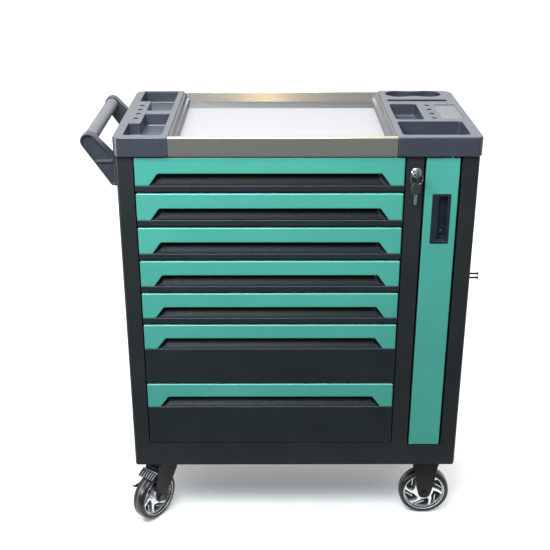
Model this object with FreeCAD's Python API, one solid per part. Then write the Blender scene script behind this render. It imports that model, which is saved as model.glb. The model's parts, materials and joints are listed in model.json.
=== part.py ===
"""Wheeled tool cart: seven drawers, a tall side door, a steel worktop between two moulded trays,
a push handle on the left side and four castors.

Every piece is drawn in cabinet coordinates: x from the cabinet's left side, y from the plane of its
front posts towards the back, z from the floor, all in millimetres. save() moves it to the cart's own
frame, whose origin lies on the floor under the middle of the whole cart.
"""
import FreeCAD
import Part
import math
import os

Vector = FreeCAD.Vector

# ---------------------------------------------------------------- driving dimensions
FRAME_X = -364.0            # cabinet's left side in the cart's frame
FRAME_Y = -199.0            # plane of the front posts in the cart's frame

SHEET = 1.5                 # cabinet sheet steel
BOX_SHEET = 1.2             # drawer box sheet steel
CABINET_W = 778.0
CABINET_D = 428.0
CABINET_BOTTOM = 166.0
CABINET_TOP = 945.0
POST_W = 37.0
POST_RETURN = 25.0
SIDE_LIP = 18.0
FRONT_EDGE_R = 6.0
BOTTOM_EDGE_R = 7.0
GAP = 2.5                   # beside a drawer front or the door

CENTRE_POST_X = 622.0
DOOR_LEFT = 661.5
DOOR_RIGHT = 738.0
DOOR_BOTTOM = 224.0
FRONT_TOP = 942.8           # top edge of the first drawer front and of the door
PROUD = 1.0                 # fronts stand this far ahead of the posts
BAY_BOTTOM = 228.0
DOOR_BAY_BOTTOM = 221.5

FRONT_W = 580.0
FRONT_X = POST_W + GAP
DRAWER_TOPS = [FRONT_TOP - 79.0 * row for row in range(6)] + [393.0]
DRAWER_HEIGHTS = [76.0] * 5 + [152.0, 162.4]
PLATE_MIDDLE = 37.0         # coloured plate's height over the finger scoop
PLATE_LEG = 65.0            # and at its two ends
LEG_FOOT = 29.5
LEG_HEAD = 49.0
LIP_TOP = 66.0              # below the front's top edge
SCOOP_DEPTH = 22.0

BOX_FRONT = 24.0
BOX_BACK = 405.0
BOX_SIDE_GAP = 12.5         # room for one runner
BOX_FOOT = 5.0              # box floor above the front's bottom edge
BOX_WALLS = [60.0] * 5 + [136.0, 146.0]
RAIL_HEIGHT = 30.0          # runner's middle above the box floor
RAIL_HALF = 15.0
RAIL_FRONT = 30.0
RAIL_BACK = 400.0
INNER_RAIL_HALF = 10.5

WORKTOP_TOP = 989.0
WORKTOP_FRONT = -8.0
WORKTOP_BACK = 432.0
TRAY_OVERHANG = 3.5
LEFT_TRAY_RIGHT = 114.0
RIGHT_TRAY_LEFT = 600.0
STEEL_LIP = 984.5
STEEL_FLOOR = 958.0
WALL = 2.5                  # moulded trays
WELL_FLOOR = 960.0
LONG_WELL_FLOOR = 955.0
SLOT_R = 5.8                # screwdriver holes

CUP_CENTRES = [(646.5, 396.0), (720.5, 396.0)]
CUP_R = 31.5                # can cups, joined by a waist
CUP_WAIST = 24.0
CUP_FLOOR = 954.0
LEFT_SLOTS = [(27.5, y) for y in (155.0, 196.0, 236.0, 276.0)]
RIGHT_SLOTS = [(700.5, y) for y in (156.0, 196.0, 236.0, 276.0)]

LOCK_X = 643.0
LOCK_Z = 909.0
LOCK_TRAVEL = 6.0
RING_R = 13.0               # key ring, and how far in front of the posts it hangs
RING_Y = -12.5
SPARE_TURN = 28.0           # degrees the spare key is turned about the vertical
BEZEL_R = 11.5
BARREL_R = 10.0
PLUG_R = 7.0
PLUG_FRONT = -4.5
DRIVE_PIN_R = 1.5
LOCK_PIN_R = LOCK_TRAVEL / 2 / math.sin(math.radians(45))
BAR_Y = 28.0
BAR_T = 3.0

GRIP_X = -57.0
GRIP_Z = 974.6
GRIP_R = 14.5
ARM_END_R = 17.0
ARM_T = 25.0
ARM_FRONTS = [12.0, 350.0]
ARM_WEB = 930.0             # middle of the level web between an arm's two pockets
ARM_POCKET = 8.0            # depth above the web
ARM_RECESS = 3.0            # depth below it
ARM_BOLT_R = 3.0

HINGE_X = 720.0
HINGE_Y = 6.0
HINGE_R = 3.0
RUNNING = 0.05              # radial clearance of a running fit
HOOK_Y = 30.0
HOOK_Z = 656.0

WHEEL_R = 62.5
WHEEL_W = 32.0
RIM_R = 51.0
AXLE_R = 4.0
FORK_INNER = 19.0
FORK_T = 3.0
FIXED_X = 715.0
FIXED_Y = [45.0, 383.0]
SWIVEL_X = 61.0
SWIVEL_Y = [55.0, 373.0]
TRAIL = 38.0
HEADING = 233.13            # direction in which a swivel castor trails, degrees from +x
PEDAL_U = 34.0
PEDAL_Z = 138.0
PIVOT_R = 3.0
PEDAL_HALF = 25.0           # half the width of the brake pedal's tread
PEDAL_RIBS = 11
SPOKES = 6
PLATE_UNDER = 163.0         # underside of a castor's mounting plate
PLATE_X = 47.5              # half its size across and along
PLATE_Y = 32.0
BOLT_X = 38.0               # its bolts, from its middle
BOLT_Y = 22.0
BOLT_R = 4.0
KINGPIN_R = 6.0
CROWN_TOP = 152.0           # top plate of a swivel fork
CROWN_BOTTOM = 148.0


# ---------------------------------------------------------------- helpers
def plan(u, v, w):
    return Vector(u, v, w)


def front(u, v, w):
    return Vector(u, w, v)


def side(u, v, w):
    return Vector(w, u, v)


def block(x0, x1, y0, y1, z0, z1):
    return Part.makeBox(x1 - x0, y1 - y0, z1 - z0, Vector(x0, y0, z0))


def rod(start, end, radius):
    axis = Vector(*end) - Vector(*start)
    return Part.makeCylinder(radius, axis.Length, Vector(*start), axis)


def wire(corners, view, w):
    """Closed wire through (u, v, corner radius) points, drawn in one of the three views."""
    bends = []
    for index, (u, v, radius) in enumerate(corners):
        here = Vector(u, v, 0)
        previous = corners[index - 1]
        following = corners[(index + 1) % len(corners)]
        back = (Vector(previous[0], previous[1], 0) - here).normalize()
        ahead = (Vector(following[0], following[1], 0) - here).normalize()
        half = back.getAngle(ahead) / 2
        reach = radius / math.tan(half)
        middle = here + (back + ahead).normalize() * (radius / math.sin(half) - radius)
        bends.append((here + back * reach, middle, here + ahead * reach, radius))
    edges = []
    for index, (start, middle, end, radius) in enumerate(bends):
        last = bends[index - 1][2]
        if (start - last).Length > 1e-6:
            edges.append(Part.LineSegment(view(last.x, last.y, w), view(start.x, start.y, w)).toShape())
        if radius > 0:
            arc = Part.Arc(view(start.x, start.y, w), view(middle.x, middle.y, w), view(end.x, end.y, w))
            edges.append(arc.toShape())
    return Part.Wire(Part.__sortEdges__(edges))


def prism(corners, view, w0, w1):
    face = Part.Face(wire(corners, view, w0))
    return face.extrude(view(0, 0, w1) - view(0, 0, w0))


def fuse(pieces):
    result = pieces[0]
    if len(pieces) > 1:
        result = pieces[0].multiFuse(pieces[1:])
    return result.removeSplitter()


def mirror_x(shape, x):
    return shape.mirror(Vector(x, 0, 0), Vector(1, 0, 0))


def save(name, pieces):
    """Writes one node; a list of solids stays a group of separate solids."""
    shape = Part.makeCompound(pieces) if isinstance(pieces, list) else pieces.copy()
    shape.translate(Vector(FRAME_X, FRAME_Y, 0))
    shape.exportStep("parts/" + name + ".step")
    extents.add(shape.optimalBoundingBox(True, False))
    print(name, len(shape.Solids), "solids", "valid" if shape.isValid() else "INVALID", round(shape.Volume))


# ---------------------------------------------------------------- cabinet
def cabinet_shell():
    """Sheet-steel envelope, open at the top, with rounded front and bottom edges."""
    def envelope(inset, top):
        section = [
            (inset, CABINET_BOTTOM + inset, BOTTOM_EDGE_R - inset),
            (CABINET_W - inset, CABINET_BOTTOM + inset, BOTTOM_EDGE_R - inset),
            (CABINET_W - inset, top, 0),
            (inset, top, 0),
        ]
        footprint = [
            (inset, inset, FRONT_EDGE_R - inset),
            (CABINET_W - inset, inset, FRONT_EDGE_R - inset),
            (CABINET_W - inset, CABINET_D - inset, 0),
            (inset, CABINET_D - inset, 0),
        ]
        upright = prism(footprint, plan, CABINET_BOTTOM, top)
        return upright.common(prism(section, front, 0, CABINET_D))
    return envelope(0, CABINET_TOP).cut(envelope(SHEET, CABINET_TOP + SHEET))


def bolt_places():
    """Bolts that hold the castor plates: x, y."""
    castors = [(FIXED_X, y) for y in FIXED_Y] + [(SWIVEL_X, y) for y in SWIVEL_Y]
    return [(x + dx, y + dy) for x, y in castors for dx in (-BOLT_X, BOLT_X) for dy in (-BOLT_Y, BOLT_Y)]


def bolt_holes():
    bottom = PLATE_UNDER - 1
    top = CABINET_BOTTOM + SHEET + 1
    return Part.makeCompound([rod((x, y, bottom), (x, y, top), BOLT_R) for x, y in bolt_places()])


def arm_bolt_places():
    """Bolts that hold the handle arms: y, z."""
    return [(y + ARM_T / 2, z) for y in ARM_FRONTS for z in (893, 918)]


def arm_bolt_holes():
    return [rod((-18, y, z), (SHEET + 1, y, z), ARM_BOLT_R) for y, z in arm_bolt_places()]


def side_panel(shell):
    """Left side panel with its front post, rear lip and bottom lip in one folded sheet."""
    lip = block(0, SIDE_LIP, 0, CABINET_D, CABINET_BOTTOM, CABINET_TOP)
    post = block(0, POST_W, 0, POST_RETURN, CABINET_BOTTOM, CABINET_TOP)
    post_return = block(POST_W - SHEET, POST_W, SHEET, POST_RETURN, CABINET_BOTTOM + SHEET, CABINET_TOP)
    return fuse([shell.common(lip.fuse(post)), post_return])


def left_panel(shell):
    return side_panel(shell).cut(Part.makeCompound(arm_bolt_holes() + bolt_holes().Solids))


def right_panel(shell):
    return mirror_x(side_panel(shell), CABINET_W / 2).cut(bolt_holes())


def back_panel():
    return block(SIDE_LIP, CABINET_W - SIDE_LIP, CABINET_D - SHEET, CABINET_D, CABINET_BOTTOM, CABINET_TOP)


def base_pan():
    """Floor sheet and front skirt; the skirt is lower under the door."""
    bottom = CABINET_BOTTOM
    inside_back = CABINET_D - SHEET
    right_post = CABINET_W - POST_W
    divider = CENTRE_POST_X + POST_W
    pieces = [
        block(SIDE_LIP, CABINET_W - SIDE_LIP, POST_RETURN, inside_back, bottom, bottom + SHEET),
        block(POST_W, right_post, 0, POST_RETURN, bottom, bottom + SHEET),
        block(POST_W, divider, 0, SHEET, bottom, BAY_BOTTOM),
        block(divider, right_post, 0, SHEET, bottom, DOOR_BAY_BOTTOM),
        block(POST_W, divider, 0, POST_RETURN - 5, BAY_BOTTOM - SHEET, BAY_BOTTOM),
        block(divider, right_post, 0, POST_RETURN - 5, DOOR_BAY_BOTTOM - SHEET, DOOR_BAY_BOTTOM),
    ]
    return fuse(pieces).cut(bolt_holes())


def top_deck():
    """Sheet under the worktop, cut out round the side panels' folded edges."""
    bottom = CABINET_TOP - SHEET
    deck = block(SHEET, CABINET_W - SHEET, SHEET, CABINET_D - SHEET, bottom, CABINET_TOP)
    post = fuse([
        block(0, SIDE_LIP, 0, SHEET + 5, bottom - 1, CABINET_TOP + 1),
        block(POST_W - SHEET, POST_W, 0, POST_RETURN, bottom - 1, CABINET_TOP + 1),
    ])
    return deck.cut(post).cut(mirror_x(post, CABINET_W / 2))


def drawer_floor(row):
    return DRAWER_TOPS[row] - DRAWER_HEIGHTS[row] + BOX_FOOT


def rail_z(row):
    return drawer_floor(row) + RAIL_HEIGHT


def divider_panel():
    """Wall between drawers and side bay, with the centre post and the lock bar's slots."""
    x = CENTRE_POST_X
    top = CABINET_TOP - SHEET
    inside_back = CABINET_D - SHEET
    pieces = [
        block(x, x + POST_W, 0, SHEET, BAY_BOTTOM, CABINET_TOP),
        block(x, x + SHEET, 0, inside_back, BAY_BOTTOM, top),
        block(x, x + SHEET, POST_RETURN - 5, inside_back, CABINET_BOTTOM + SHEET, BAY_BOTTOM),
        block(x + POST_W - SHEET, x + POST_W, 0, POST_RETURN, BAY_BOTTOM, top),
    ]
    slots = [block(x - 1, x + 4, BAR_Y - 2, BAR_Y + BAR_T + 2, rail_z(row) + 15.5, rail_z(row) + 27)
             for row in range(7)]
    slots.append(rod((LOCK_X, -1, LOCK_Z), (LOCK_X, 5, LOCK_Z), BARREL_R))
    return fuse(pieces).cut(Part.makeCompound(slots))


def runner_uprights():
    """Two channels on the left wall that carry the left-hand runners."""
    channels = []
    for y in (32.0, 385.0):
        outer = block(SHEET, POST_W, y, y + 20, 229.5, 943)
        channels.append(outer.cut(block(SHEET - 1, POST_W - SHEET, y + SHEET, y + 20 - SHEET, 229, 944)))
    return channels


def outer_rail(z):
    """C-section runner member, web at x = 0, open towards +x."""
    lip = SHEET
    height = RAIL_HALF
    return fuse([
        block(0, lip, RAIL_FRONT, RAIL_BACK, z - height, z + height),
        block(0, 9.5, RAIL_FRONT, RAIL_BACK, z + height - lip, z + height),
        block(0, 9.5, RAIL_FRONT, RAIL_BACK, z - height, z - height + lip),
    ])


def inner_rail(z):
    """C-section runner member on the drawer, web against the box, open towards -x."""
    height = INNER_RAIL_HALF
    start = RAIL_FRONT - 2
    end = RAIL_BACK - 2
    return fuse([
        block(BOX_SIDE_GAP - SHEET, BOX_SIDE_GAP, start, end, z - height, z + height),
        block(4, BOX_SIDE_GAP, start, end, z + height - SHEET, z + height),
        block(4, BOX_SIDE_GAP, start, end, z - height, z - height + SHEET),
    ])


def both_sides(rail):
    """A left-hand rail drawn at x = 0, and its right-hand twin."""
    left = rail.copy()
    left.translate(Vector(POST_W, 0, 0))
    return [left, mirror_x(left, (POST_W + CENTRE_POST_X) / 2)]


def cabinet_runners():
    rails = []
    for row in range(7):
        rails += both_sides(outer_rail(rail_z(row)))
    return rails


def side_shelves():
    shelves = []
    for z in (400.0, 640.0):
        floor = block(CENTRE_POST_X + SHEET, CABINET_W - SHEET, 42, CABINET_D - SHEET, z, z + SHEET)
        lip = block(CENTRE_POST_X + SHEET, CABINET_W - SHEET, 42, 42 + SHEET, z, z + 15)
        shelves.append(fuse([floor, lip]))
    return shelves


# ---------------------------------------------------------------- worktop
def steel_worktop():
    """Shallow pan with stepped sides, a rolled front edge and a raised rear lip."""
    x0 = LEFT_TRAY_RIGHT
    x1 = RIGHT_TRAY_LEFT
    body = block(x0, x1, WORKTOP_FRONT, WORKTOP_BACK, CABINET_TOP, STEEL_LIP)
    roll = block(x0, x1, WORKTOP_FRONT, 4, CABINET_TOP, WORKTOP_TOP)
    pan = body.fuse(roll).removeSplitter()
    front_edges = [edge for edge in pan.Edges
                   if edge.BoundBox.ZMin > WORKTOP_TOP - 0.1 and edge.BoundBox.XLength > 100]
    pan = pan.makeFillet(3, front_edges)
    step = block(x0 + 8, x1 - 8, 4, 420, 972, 1000)
    well = prism([(x0 + 17, 4, 6), (x1 - 17, 4, 6), (x1 - 17, 420, 6), (x0 + 17, 420, 6)],
                 plan, STEEL_FLOOR, 1000)
    under = block(x0 + SHEET, x1 - SHEET, WORKTOP_FRONT + SHEET, WORKTOP_BACK - SHEET,
                  CABINET_TOP - 1, STEEL_FLOOR - SHEET)
    return pan.cut(Part.makeCompound([step, well])).cut(under)


def moulded_tray(footprint, wells, holes):
    """Hollow moulding: a skin, plus a cup of wall thickness round every well."""
    outer = prism(footprint, plan, CABINET_TOP, WORKTOP_TOP)
    rim = [edge for edge in outer.Edges if edge.BoundBox.ZMin > WORKTOP_TOP - 0.1]
    outer = outer.makeFillet(2.2, rim)
    middle_x = sum(corner[0] for corner in footprint) / len(footprint)
    inset = [(u + (WALL if u < middle_x else -WALL),
              v + (WALL if v < CABINET_D / 2 else -WALL),
              max(radius - WALL, 0)) for u, v, radius in footprint]
    skin = outer.cut(prism(inset, plan, CABINET_TOP - 1, WORKTOP_TOP - 4))
    cups = [thick.common(outer) for thick, _ in wells]
    tray = fuse([skin] + cups)
    hollows = [hollow for _, hollow in wells]
    drills = [rod((x, y, WELL_FLOOR - 10), (x, y, WORKTOP_TOP + 1), SLOT_R) for x, y in holes]
    return tray.cut(Part.makeCompound(hollows + drills))


def well(corners, floor, growth):
    """The cup and the hollow of one well whose outline grows outward by the given offsets."""
    hollow = prism(corners, plan, floor, WORKTOP_TOP + 5)
    thick = prism(growth, plan, floor - WALL, WORKTOP_TOP)
    return thick, hollow


def rectangle(x0, x1, y0, y1, radius):
    return [(x0, y0, radius), (x1, y0, radius), (x1, y1, radius), (x0, y1, radius)]


def plain_well(x0, x1, y0, y1, radius, floor):
    inner = rectangle(x0, x1, y0, y1, radius)
    outer = rectangle(x0 - WALL, x1 + WALL, y0 - WALL, y1 + WALL, radius + WALL)
    return well(inner, floor, outer)


def notched_well(x0, x1, y0, y1, notch_x, notch_y, notch_high):
    """Well with one corner taken by the screwdriver pad: the high-y or the low-y left corner."""
    def corners(grow):
        low = y0 - grow
        high = y1 + grow
        left = x0 - grow
        right = x1 + grow
        inner = notch_x - grow
        if notch_high:
            return [(left, low, 7), (right, low, 7), (right, high, 7), (inner, high, 4),
                    (inner, notch_y + grow, 4), (left, notch_y + grow, 4)]
        return [(inner, low, 4), (right, low, 7), (right, high, 7), (left, high, 7),
                (left, notch_y - grow, 4), (inner, notch_y - grow, 4)]
    return well(corners(0), WELL_FLOOR, corners(WALL))


def left_tray():
    footprint = [(-TRAY_OVERHANG, WORKTOP_FRONT, 9), (LEFT_TRAY_RIGHT, WORKTOP_FRONT, 0),
                 (LEFT_TRAY_RIGHT, WORKTOP_BACK, 0), (-TRAY_OVERHANG, WORKTOP_BACK, 30)]
    wells = [notched_well(17, 100, 13, 197, 43.5, 112, True),
             notched_well(17, 100, 226, 421, 43.5, 318, False)]
    return moulded_tray(footprint, wells, LEFT_SLOTS)


def twin_cup_well():
    """Two round cups for cans, joined by a narrow waist."""
    (left, middle), (right, _) = CUP_CENTRES

    def lobes(grow, z0, z1):
        waist = CUP_WAIST + grow
        discs = [rod((x, y, z0), (x, y, z1), CUP_R + grow) for x, y in CUP_CENTRES]
        return fuse(discs + [block(left, right, middle - waist, middle + waist, z0, z1)])
    return lobes(WALL, CUP_FLOOR - WALL, WORKTOP_TOP), lobes(0, CUP_FLOOR, WORKTOP_TOP + 5)


def right_tray():
    right = CABINET_W + TRAY_OVERHANG
    footprint = [(RIGHT_TRAY_LEFT, WORKTOP_FRONT, 0), (right, WORKTOP_FRONT, 9),
                 (right, WORKTOP_BACK, 30), (RIGHT_TRAY_LEFT, WORKTOP_BACK, 0)]
    wells = [twin_cup_well(),
             plain_well(612, 757, 316, 337, 9, WELL_FLOOR),
             plain_well(613, 676, 143, 289, 6, WELL_FLOOR),
             plain_well(613, 757, 13, 126, 8, LONG_WELL_FLOOR)]
    tray = moulded_tray(footprint, wells, RIGHT_SLOTS)
    return tray.cut(prism(rectangle(718, 766, 150, 282, 3), plan, WORKTOP_TOP - 1.5, WORKTOP_TOP + 1))


# ---------------------------------------------------------------- push handle
def arm_outline(shrink):
    """Arm seen from the front: a round end at the grip, running down to the cabinet side."""
    radius = ARM_END_R - shrink
    end = rod((GRIP_X, 0, GRIP_Z), (GRIP_X, ARM_T, GRIP_Z), radius)
    corners = [(-shrink, 938 - shrink * 1.6, 0),
               (GRIP_X + radius * 0.71, GRIP_Z + radius * 0.70, 0),
               (GRIP_X - radius * 0.83, GRIP_Z - radius * 0.56, 0),
               (-12 - shrink * 0.4, 877 + shrink * 1.6, 6),
               (-shrink, 876 + shrink, 0)]
    return fuse([end, prism(corners, front, 0, ARM_T)])


def handle_arms():
    """Two moulded arms, hollowed from their outer face above and below a level web."""
    half_web = 2.0
    upper_room = block(-100, -8, -1, ARM_T + 1, ARM_WEB + half_web, 1000)
    lower_room = block(-100, -4, -1, ARM_T + 1, 860, ARM_WEB - half_web)
    pocket = arm_outline(4).common(upper_room)
    pocket.translate(Vector(0, ARM_POCKET - ARM_T, 0))
    recess = arm_outline(4).common(lower_room)
    recess.translate(Vector(0, ARM_RECESS - ARM_T, 0))
    front_arm = arm_outline(0).cut(pocket).cut(recess)
    rear_arm = front_arm.mirror(Vector(0, ARM_T / 2, 0), Vector(0, 1, 0))
    arms = []
    for arm, y in zip((front_arm, rear_arm), ARM_FRONTS):
        arm.translate(Vector(0, y, 0))
        arms.append(arm.cut(Part.makeCompound(arm_bolt_holes())))
    return arms


def handle_grip():
    start = (GRIP_X, ARM_FRONTS[0] + ARM_T, GRIP_Z)
    end = (GRIP_X, ARM_FRONTS[1], GRIP_Z)
    return rod(start, end, GRIP_R).cut(rod(start, end, GRIP_R - WALL))


def mounting_bolts():
    """Castor plate bolts with nuts above the base sheet, and the handle arms' bolts."""
    head_r = 6.5
    inside = CABINET_BOTTOM + SHEET
    bolts = []
    for x, y in bolt_places():
        head = rod((x, y, PLATE_UNDER - 5), (x, y, PLATE_UNDER), head_r)
        shank = rod((x, y, PLATE_UNDER - 3), (x, y, inside + 8.5), BOLT_R)
        nut = rod((x, y, inside), (x, y, inside + 6), head_r)
        bolts.append(fuse([head, shank, nut]))
    for y, z in arm_bolt_places():
        shank = rod((-18, y, z), (SHEET, y, z), ARM_BOLT_R)
        bolts.append(fuse([shank, rod((SHEET, y, z), (5.5, y, z), 5.5)]))
    return bolts


def side_hook():
    """Two-pronged hook on the right side."""
    x = CABINET_W
    half = 12.0
    plate = block(x, x + 2, HOOK_Y - half, HOOK_Y + half, HOOK_Z - half, HOOK_Z + half)
    prongs = []
    for z in (HOOK_Z - 5, HOOK_Z + 5):
        prongs.append(rod((x, HOOK_Y, z), (x + 22, HOOK_Y, z), 2.2))
        prongs.append(rod((x + 21, HOOK_Y, z), (x + 24, HOOK_Y, z), 3.2))
    return fuse([plate] + prongs)


# ---------------------------------------------------------------- lock
def lock_housing():
    bezel = rod((LOCK_X, -3.5, LOCK_Z), (LOCK_X, 0, LOCK_Z), BEZEL_R)
    barrel = rod((LOCK_X, 0, LOCK_Z), (LOCK_X, 22, LOCK_Z), BARREL_R)
    return fuse([bezel, barrel]).cut(rod((LOCK_X, -5, LOCK_Z), (LOCK_X, 25, LOCK_Z), PLUG_R + RUNNING))


def lock_plug():
    """Plug with cam and drive pin, and the key that is in it."""
    pin_x = LOCK_X + LOCK_PIN_R * math.cos(math.radians(45))
    pin_z = LOCK_Z - LOCK_PIN_R * math.sin(math.radians(45))
    plug = fuse([
        rod((LOCK_X, PLUG_FRONT, LOCK_Z), (LOCK_X, 22.3, LOCK_Z), PLUG_R),
        rod((LOCK_X, 22.3, LOCK_Z), (LOCK_X, 25, LOCK_Z), 9),
        rod((pin_x, 25, pin_z), (pin_x, 32, pin_z), DRIVE_PIN_R),
    ])
    neck = rod((LOCK_X, -15, LOCK_Z), (LOCK_X, PLUG_FRONT, LOCK_Z), 2.2)
    bow = prism([(-34, LOCK_Z - 12, 8), (-15, LOCK_Z - 12, 8), (-15, LOCK_Z + 12, 8), (-34, LOCK_Z + 12, 8)],
                side, LOCK_X - 1.2, LOCK_X + 1.2)
    bow = bow.cut(rod((LOCK_X - 3, -27, LOCK_Z), (LOCK_X + 3, -27, LOCK_Z), 3))
    return [plug, fuse([neck, bow])]


def lock_bar():
    """Flat bar that the plug lifts; one finger per drawer reaches through the divider."""
    back = BAR_Y + BAR_T
    pin_z = LOCK_Z - LOCK_TRAVEL / 2
    strip = block(626, 641, BAR_Y, back, 245, 930)
    head = block(626, 655, BAR_Y, back, pin_z - 9, pin_z + 9)
    slot = block(LOCK_X + 0.5, LOCK_X + 7.5, BAR_Y - 1, back + 1, pin_z - 2, pin_z + 2)
    fingers = [block(613.5, 627, BAR_Y, back, rail_z(row) + 16.5, rail_z(row) + 19.5) for row in range(7)]
    return fuse([strip, head] + fingers).cut(slot)


def key_bunch():
    """Split ring round the inserted key's neck, with the spare key hanging from it."""
    ring_z = LOCK_Z + 3.3 - RING_R
    hole_z = ring_z - RING_R
    head_top = hole_z + 4.5
    ring = Part.makeTorus(RING_R, 0.8, Vector(LOCK_X, RING_Y, ring_z), Vector(0, 1, 0))
    head = prism([(-13, head_top - 27, 9), (13, head_top - 27, 9), (13, head_top, 9), (-13, head_top, 9)],
                 front, -1.1, 1.1)
    blade = block(-4, 4, -1.1, 1.1, head_top - 52, head_top - 27)
    spare = fuse([head, blade]).cut(rod((0, -3, hole_z), (0, 3, hole_z), 3.9))
    spare.rotate(Vector(0, 0, 0), Vector(0, 0, 1), SPARE_TURN)
    spare.translate(Vector(LOCK_X, RING_Y, 0))
    return [ring, spare]


# ---------------------------------------------------------------- door
def door_panel():
    """Pressed door with returned edges and pin holes in its top and bottom returns."""
    outer = block(DOOR_LEFT, DOOR_RIGHT, -PROUD, 12, DOOR_BOTTOM, FRONT_TOP)
    inner = block(DOOR_LEFT + SHEET, DOOR_RIGHT - SHEET, SHEET - PROUD, 13,
                  DOOR_BOTTOM + SHEET, FRONT_TOP - SHEET)
    window = block(685.6, 717.1, -5, 5, 749.5, 858.3)
    pins = rod((HINGE_X, HINGE_Y, 200), (HINGE_X, HINGE_Y, 950), HINGE_R + RUNNING)
    return outer.cut(Part.makeCompound([inner, window, pins]))


def door_pull():
    """Moulded finger recess let into the door."""
    bezel = prism(rectangle(683.6, 719.1, 747.5, 860.3, 2), front, -PROUD - 1.2, -PROUD)
    cup = prism(rectangle(685.6, 717.1, 749.5, 858.3, 2), front, -PROUD, 17)
    cavity = prism(rectangle(695.5, 715.0, 755.5, 855.5, 2), front, -5, 15)
    return fuse([bezel, cup]).cut(cavity)


def hinge_pins():
    top = rod((HINGE_X, HINGE_Y, 934), (HINGE_X, HINGE_Y, CABINET_TOP - SHEET), HINGE_R)
    bottom = rod((HINGE_X, HINGE_Y, DOOR_BAY_BOTTOM), (HINGE_X, HINGE_Y, 233), HINGE_R)
    return [top, bottom]


# ---------------------------------------------------------------- drawers
def plate_outline(top):
    """Coloured plate: full height at its two ends, shallow over the finger scoop."""
    x0 = FRONT_X
    x1 = FRONT_X + FRONT_W
    return [(x0, top, 1.5), (x1, top, 1.5), (x1, top - PLATE_LEG, 1.5),
            (x1 - LEG_FOOT, top - PLATE_LEG, 4), (x1 - LEG_HEAD, top - PLATE_MIDDLE, 6),
            (x0 + LEG_HEAD, top - PLATE_MIDDLE, 6), (x0 + LEG_FOOT, top - PLATE_LEG, 4),
            (x0, top - PLATE_LEG, 1.5)]


def drawer_face(row):
    top = DRAWER_TOPS[row]
    plate = prism(plate_outline(top), front, -PROUD, SHEET - PROUD)
    flange = block(FRONT_X + 2, FRONT_X + FRONT_W - 2, SHEET - PROUD, 12, top - SHEET, top)
    return fuse([plate, flange])


def scoop(top, grow):
    """Finger scoop: wide and low at the front, narrow and high at the back."""
    x0 = FRONT_X + LEG_FOOT - grow
    x1 = FRONT_X + FRONT_W - LEG_FOOT + grow
    shoulder = LEG_HEAD - LEG_FOOT
    near_low = top - LIP_TOP - grow
    near_high = top - PLATE_MIDDLE + 2 + grow
    far_low = top - 43 - grow
    far_high = top - 22 + grow
    near = [(x0, near_low, 0), (x1, near_low, 0),
            (x1 - shoulder, near_high, 0), (x0 + shoulder, near_high, 0)]
    far = [(x0 + 24, far_low, 0), (x1 - 24, far_low, 0), (x1 - 26, far_high, 0), (x0 + 26, far_high, 0)]
    depth = SCOOP_DEPTH if grow == 0 else BOX_FRONT
    return Part.makeLoft([wire(near, front, -PROUD), wire(far, front, depth)], True, True)


def drawer_pull(row):
    """Black moulded front: panel behind the plate, finger scoop, and the lip below it."""
    top = DRAWER_TOPS[row]
    bottom = top - DRAWER_HEIGHTS[row]
    x0 = FRONT_X
    x1 = FRONT_X + FRONT_W
    backing = block(x0, x1, SHEET - PROUD, 2.5, bottom, top - 3)
    lip = block(x0, x1, -PROUD, 2.5, bottom, top - LIP_TOP)
    body = fuse([backing.cut(block(x0, x1, 0, 5, top - 3, top)), lip, scoop_shell(top)])
    return body.cut(scoop(top, 0))


def scoop_shell(top):
    """Outer skin of the scoop, kept behind the coloured plate."""
    return scoop(top, 1.8).cut(block(0, CABINET_W, -5, SHEET - PROUD, top - LIP_TOP, top + 5)).cut(
        block(0, CABINET_W, -5, -PROUD, top - 200, top + 5))


def drawer_box(row):
    """Folded drawer box with its two runner members and the tab that the lock bar holds."""
    x0 = POST_W + BOX_SIDE_GAP
    x1 = CENTRE_POST_X - BOX_SIDE_GAP
    z0 = drawer_floor(row)
    z1 = z0 + BOX_WALLS[row]
    t = BOX_SHEET
    middle = rail_z(row)
    outer = block(x0, x1, BOX_FRONT, BOX_BACK, z0, z1)
    inner = block(x0 + t, x1 - t, BOX_FRONT + t, BOX_BACK - t, z0 + t, z1 + 1)
    hems = [block(x0 - 3, x0 + t, BOX_FRONT, BOX_BACK, z1 - t, z1),
            block(x1 - t, x1 + 3, BOX_FRONT, BOX_BACK, z1 - t, z1)]
    tab = block(x1 - t, x1 + 8.5, 34, 40, middle + 21, middle + 26.5)
    box = fuse([outer.cut(inner), tab] + hems)
    return [box] + both_sides(inner_rail(middle))


# ---------------------------------------------------------------- castors
def turned(shape, y):
    """Places a swivel castor piece, drawn round the origin and trailing towards +x."""
    placed = shape.copy()
    placed.rotate(Vector(0, 0, 0), Vector(0, 0, 1), HEADING)
    placed.translate(Vector(SWIVEL_X, y, 0))
    return placed


def mounting_plate():
    return prism(rectangle(-PLATE_X, PLATE_X, -PLATE_Y, PLATE_Y, 6), plan, PLATE_UNDER, CABINET_BOTTOM)


def swivel_plate():
    """Mounting plate with the fixed half of the swivel and the kingpin."""
    bearing = rod((0, 0, CROWN_TOP + 0.3), (0, 0, PLATE_UNDER), 22)
    kingpin = rod((0, 0, CROWN_BOTTOM - 2), (0, 0, CROWN_TOP + 1), KINGPIN_R)
    head = rod((0, 0, CROWN_BOTTOM - 4.8), (0, 0, CROWN_BOTTOM - 0.3), 10)
    return fuse([mounting_plate(), bearing, kingpin, head])


def swivel_plates():
    plates = []
    for y in SWIVEL_Y:
        plate = swivel_plate()
        plate.translate(Vector(SWIVEL_X, y, 0))
        plates.append(plate.cut(bolt_holes()))
    return plates


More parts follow.
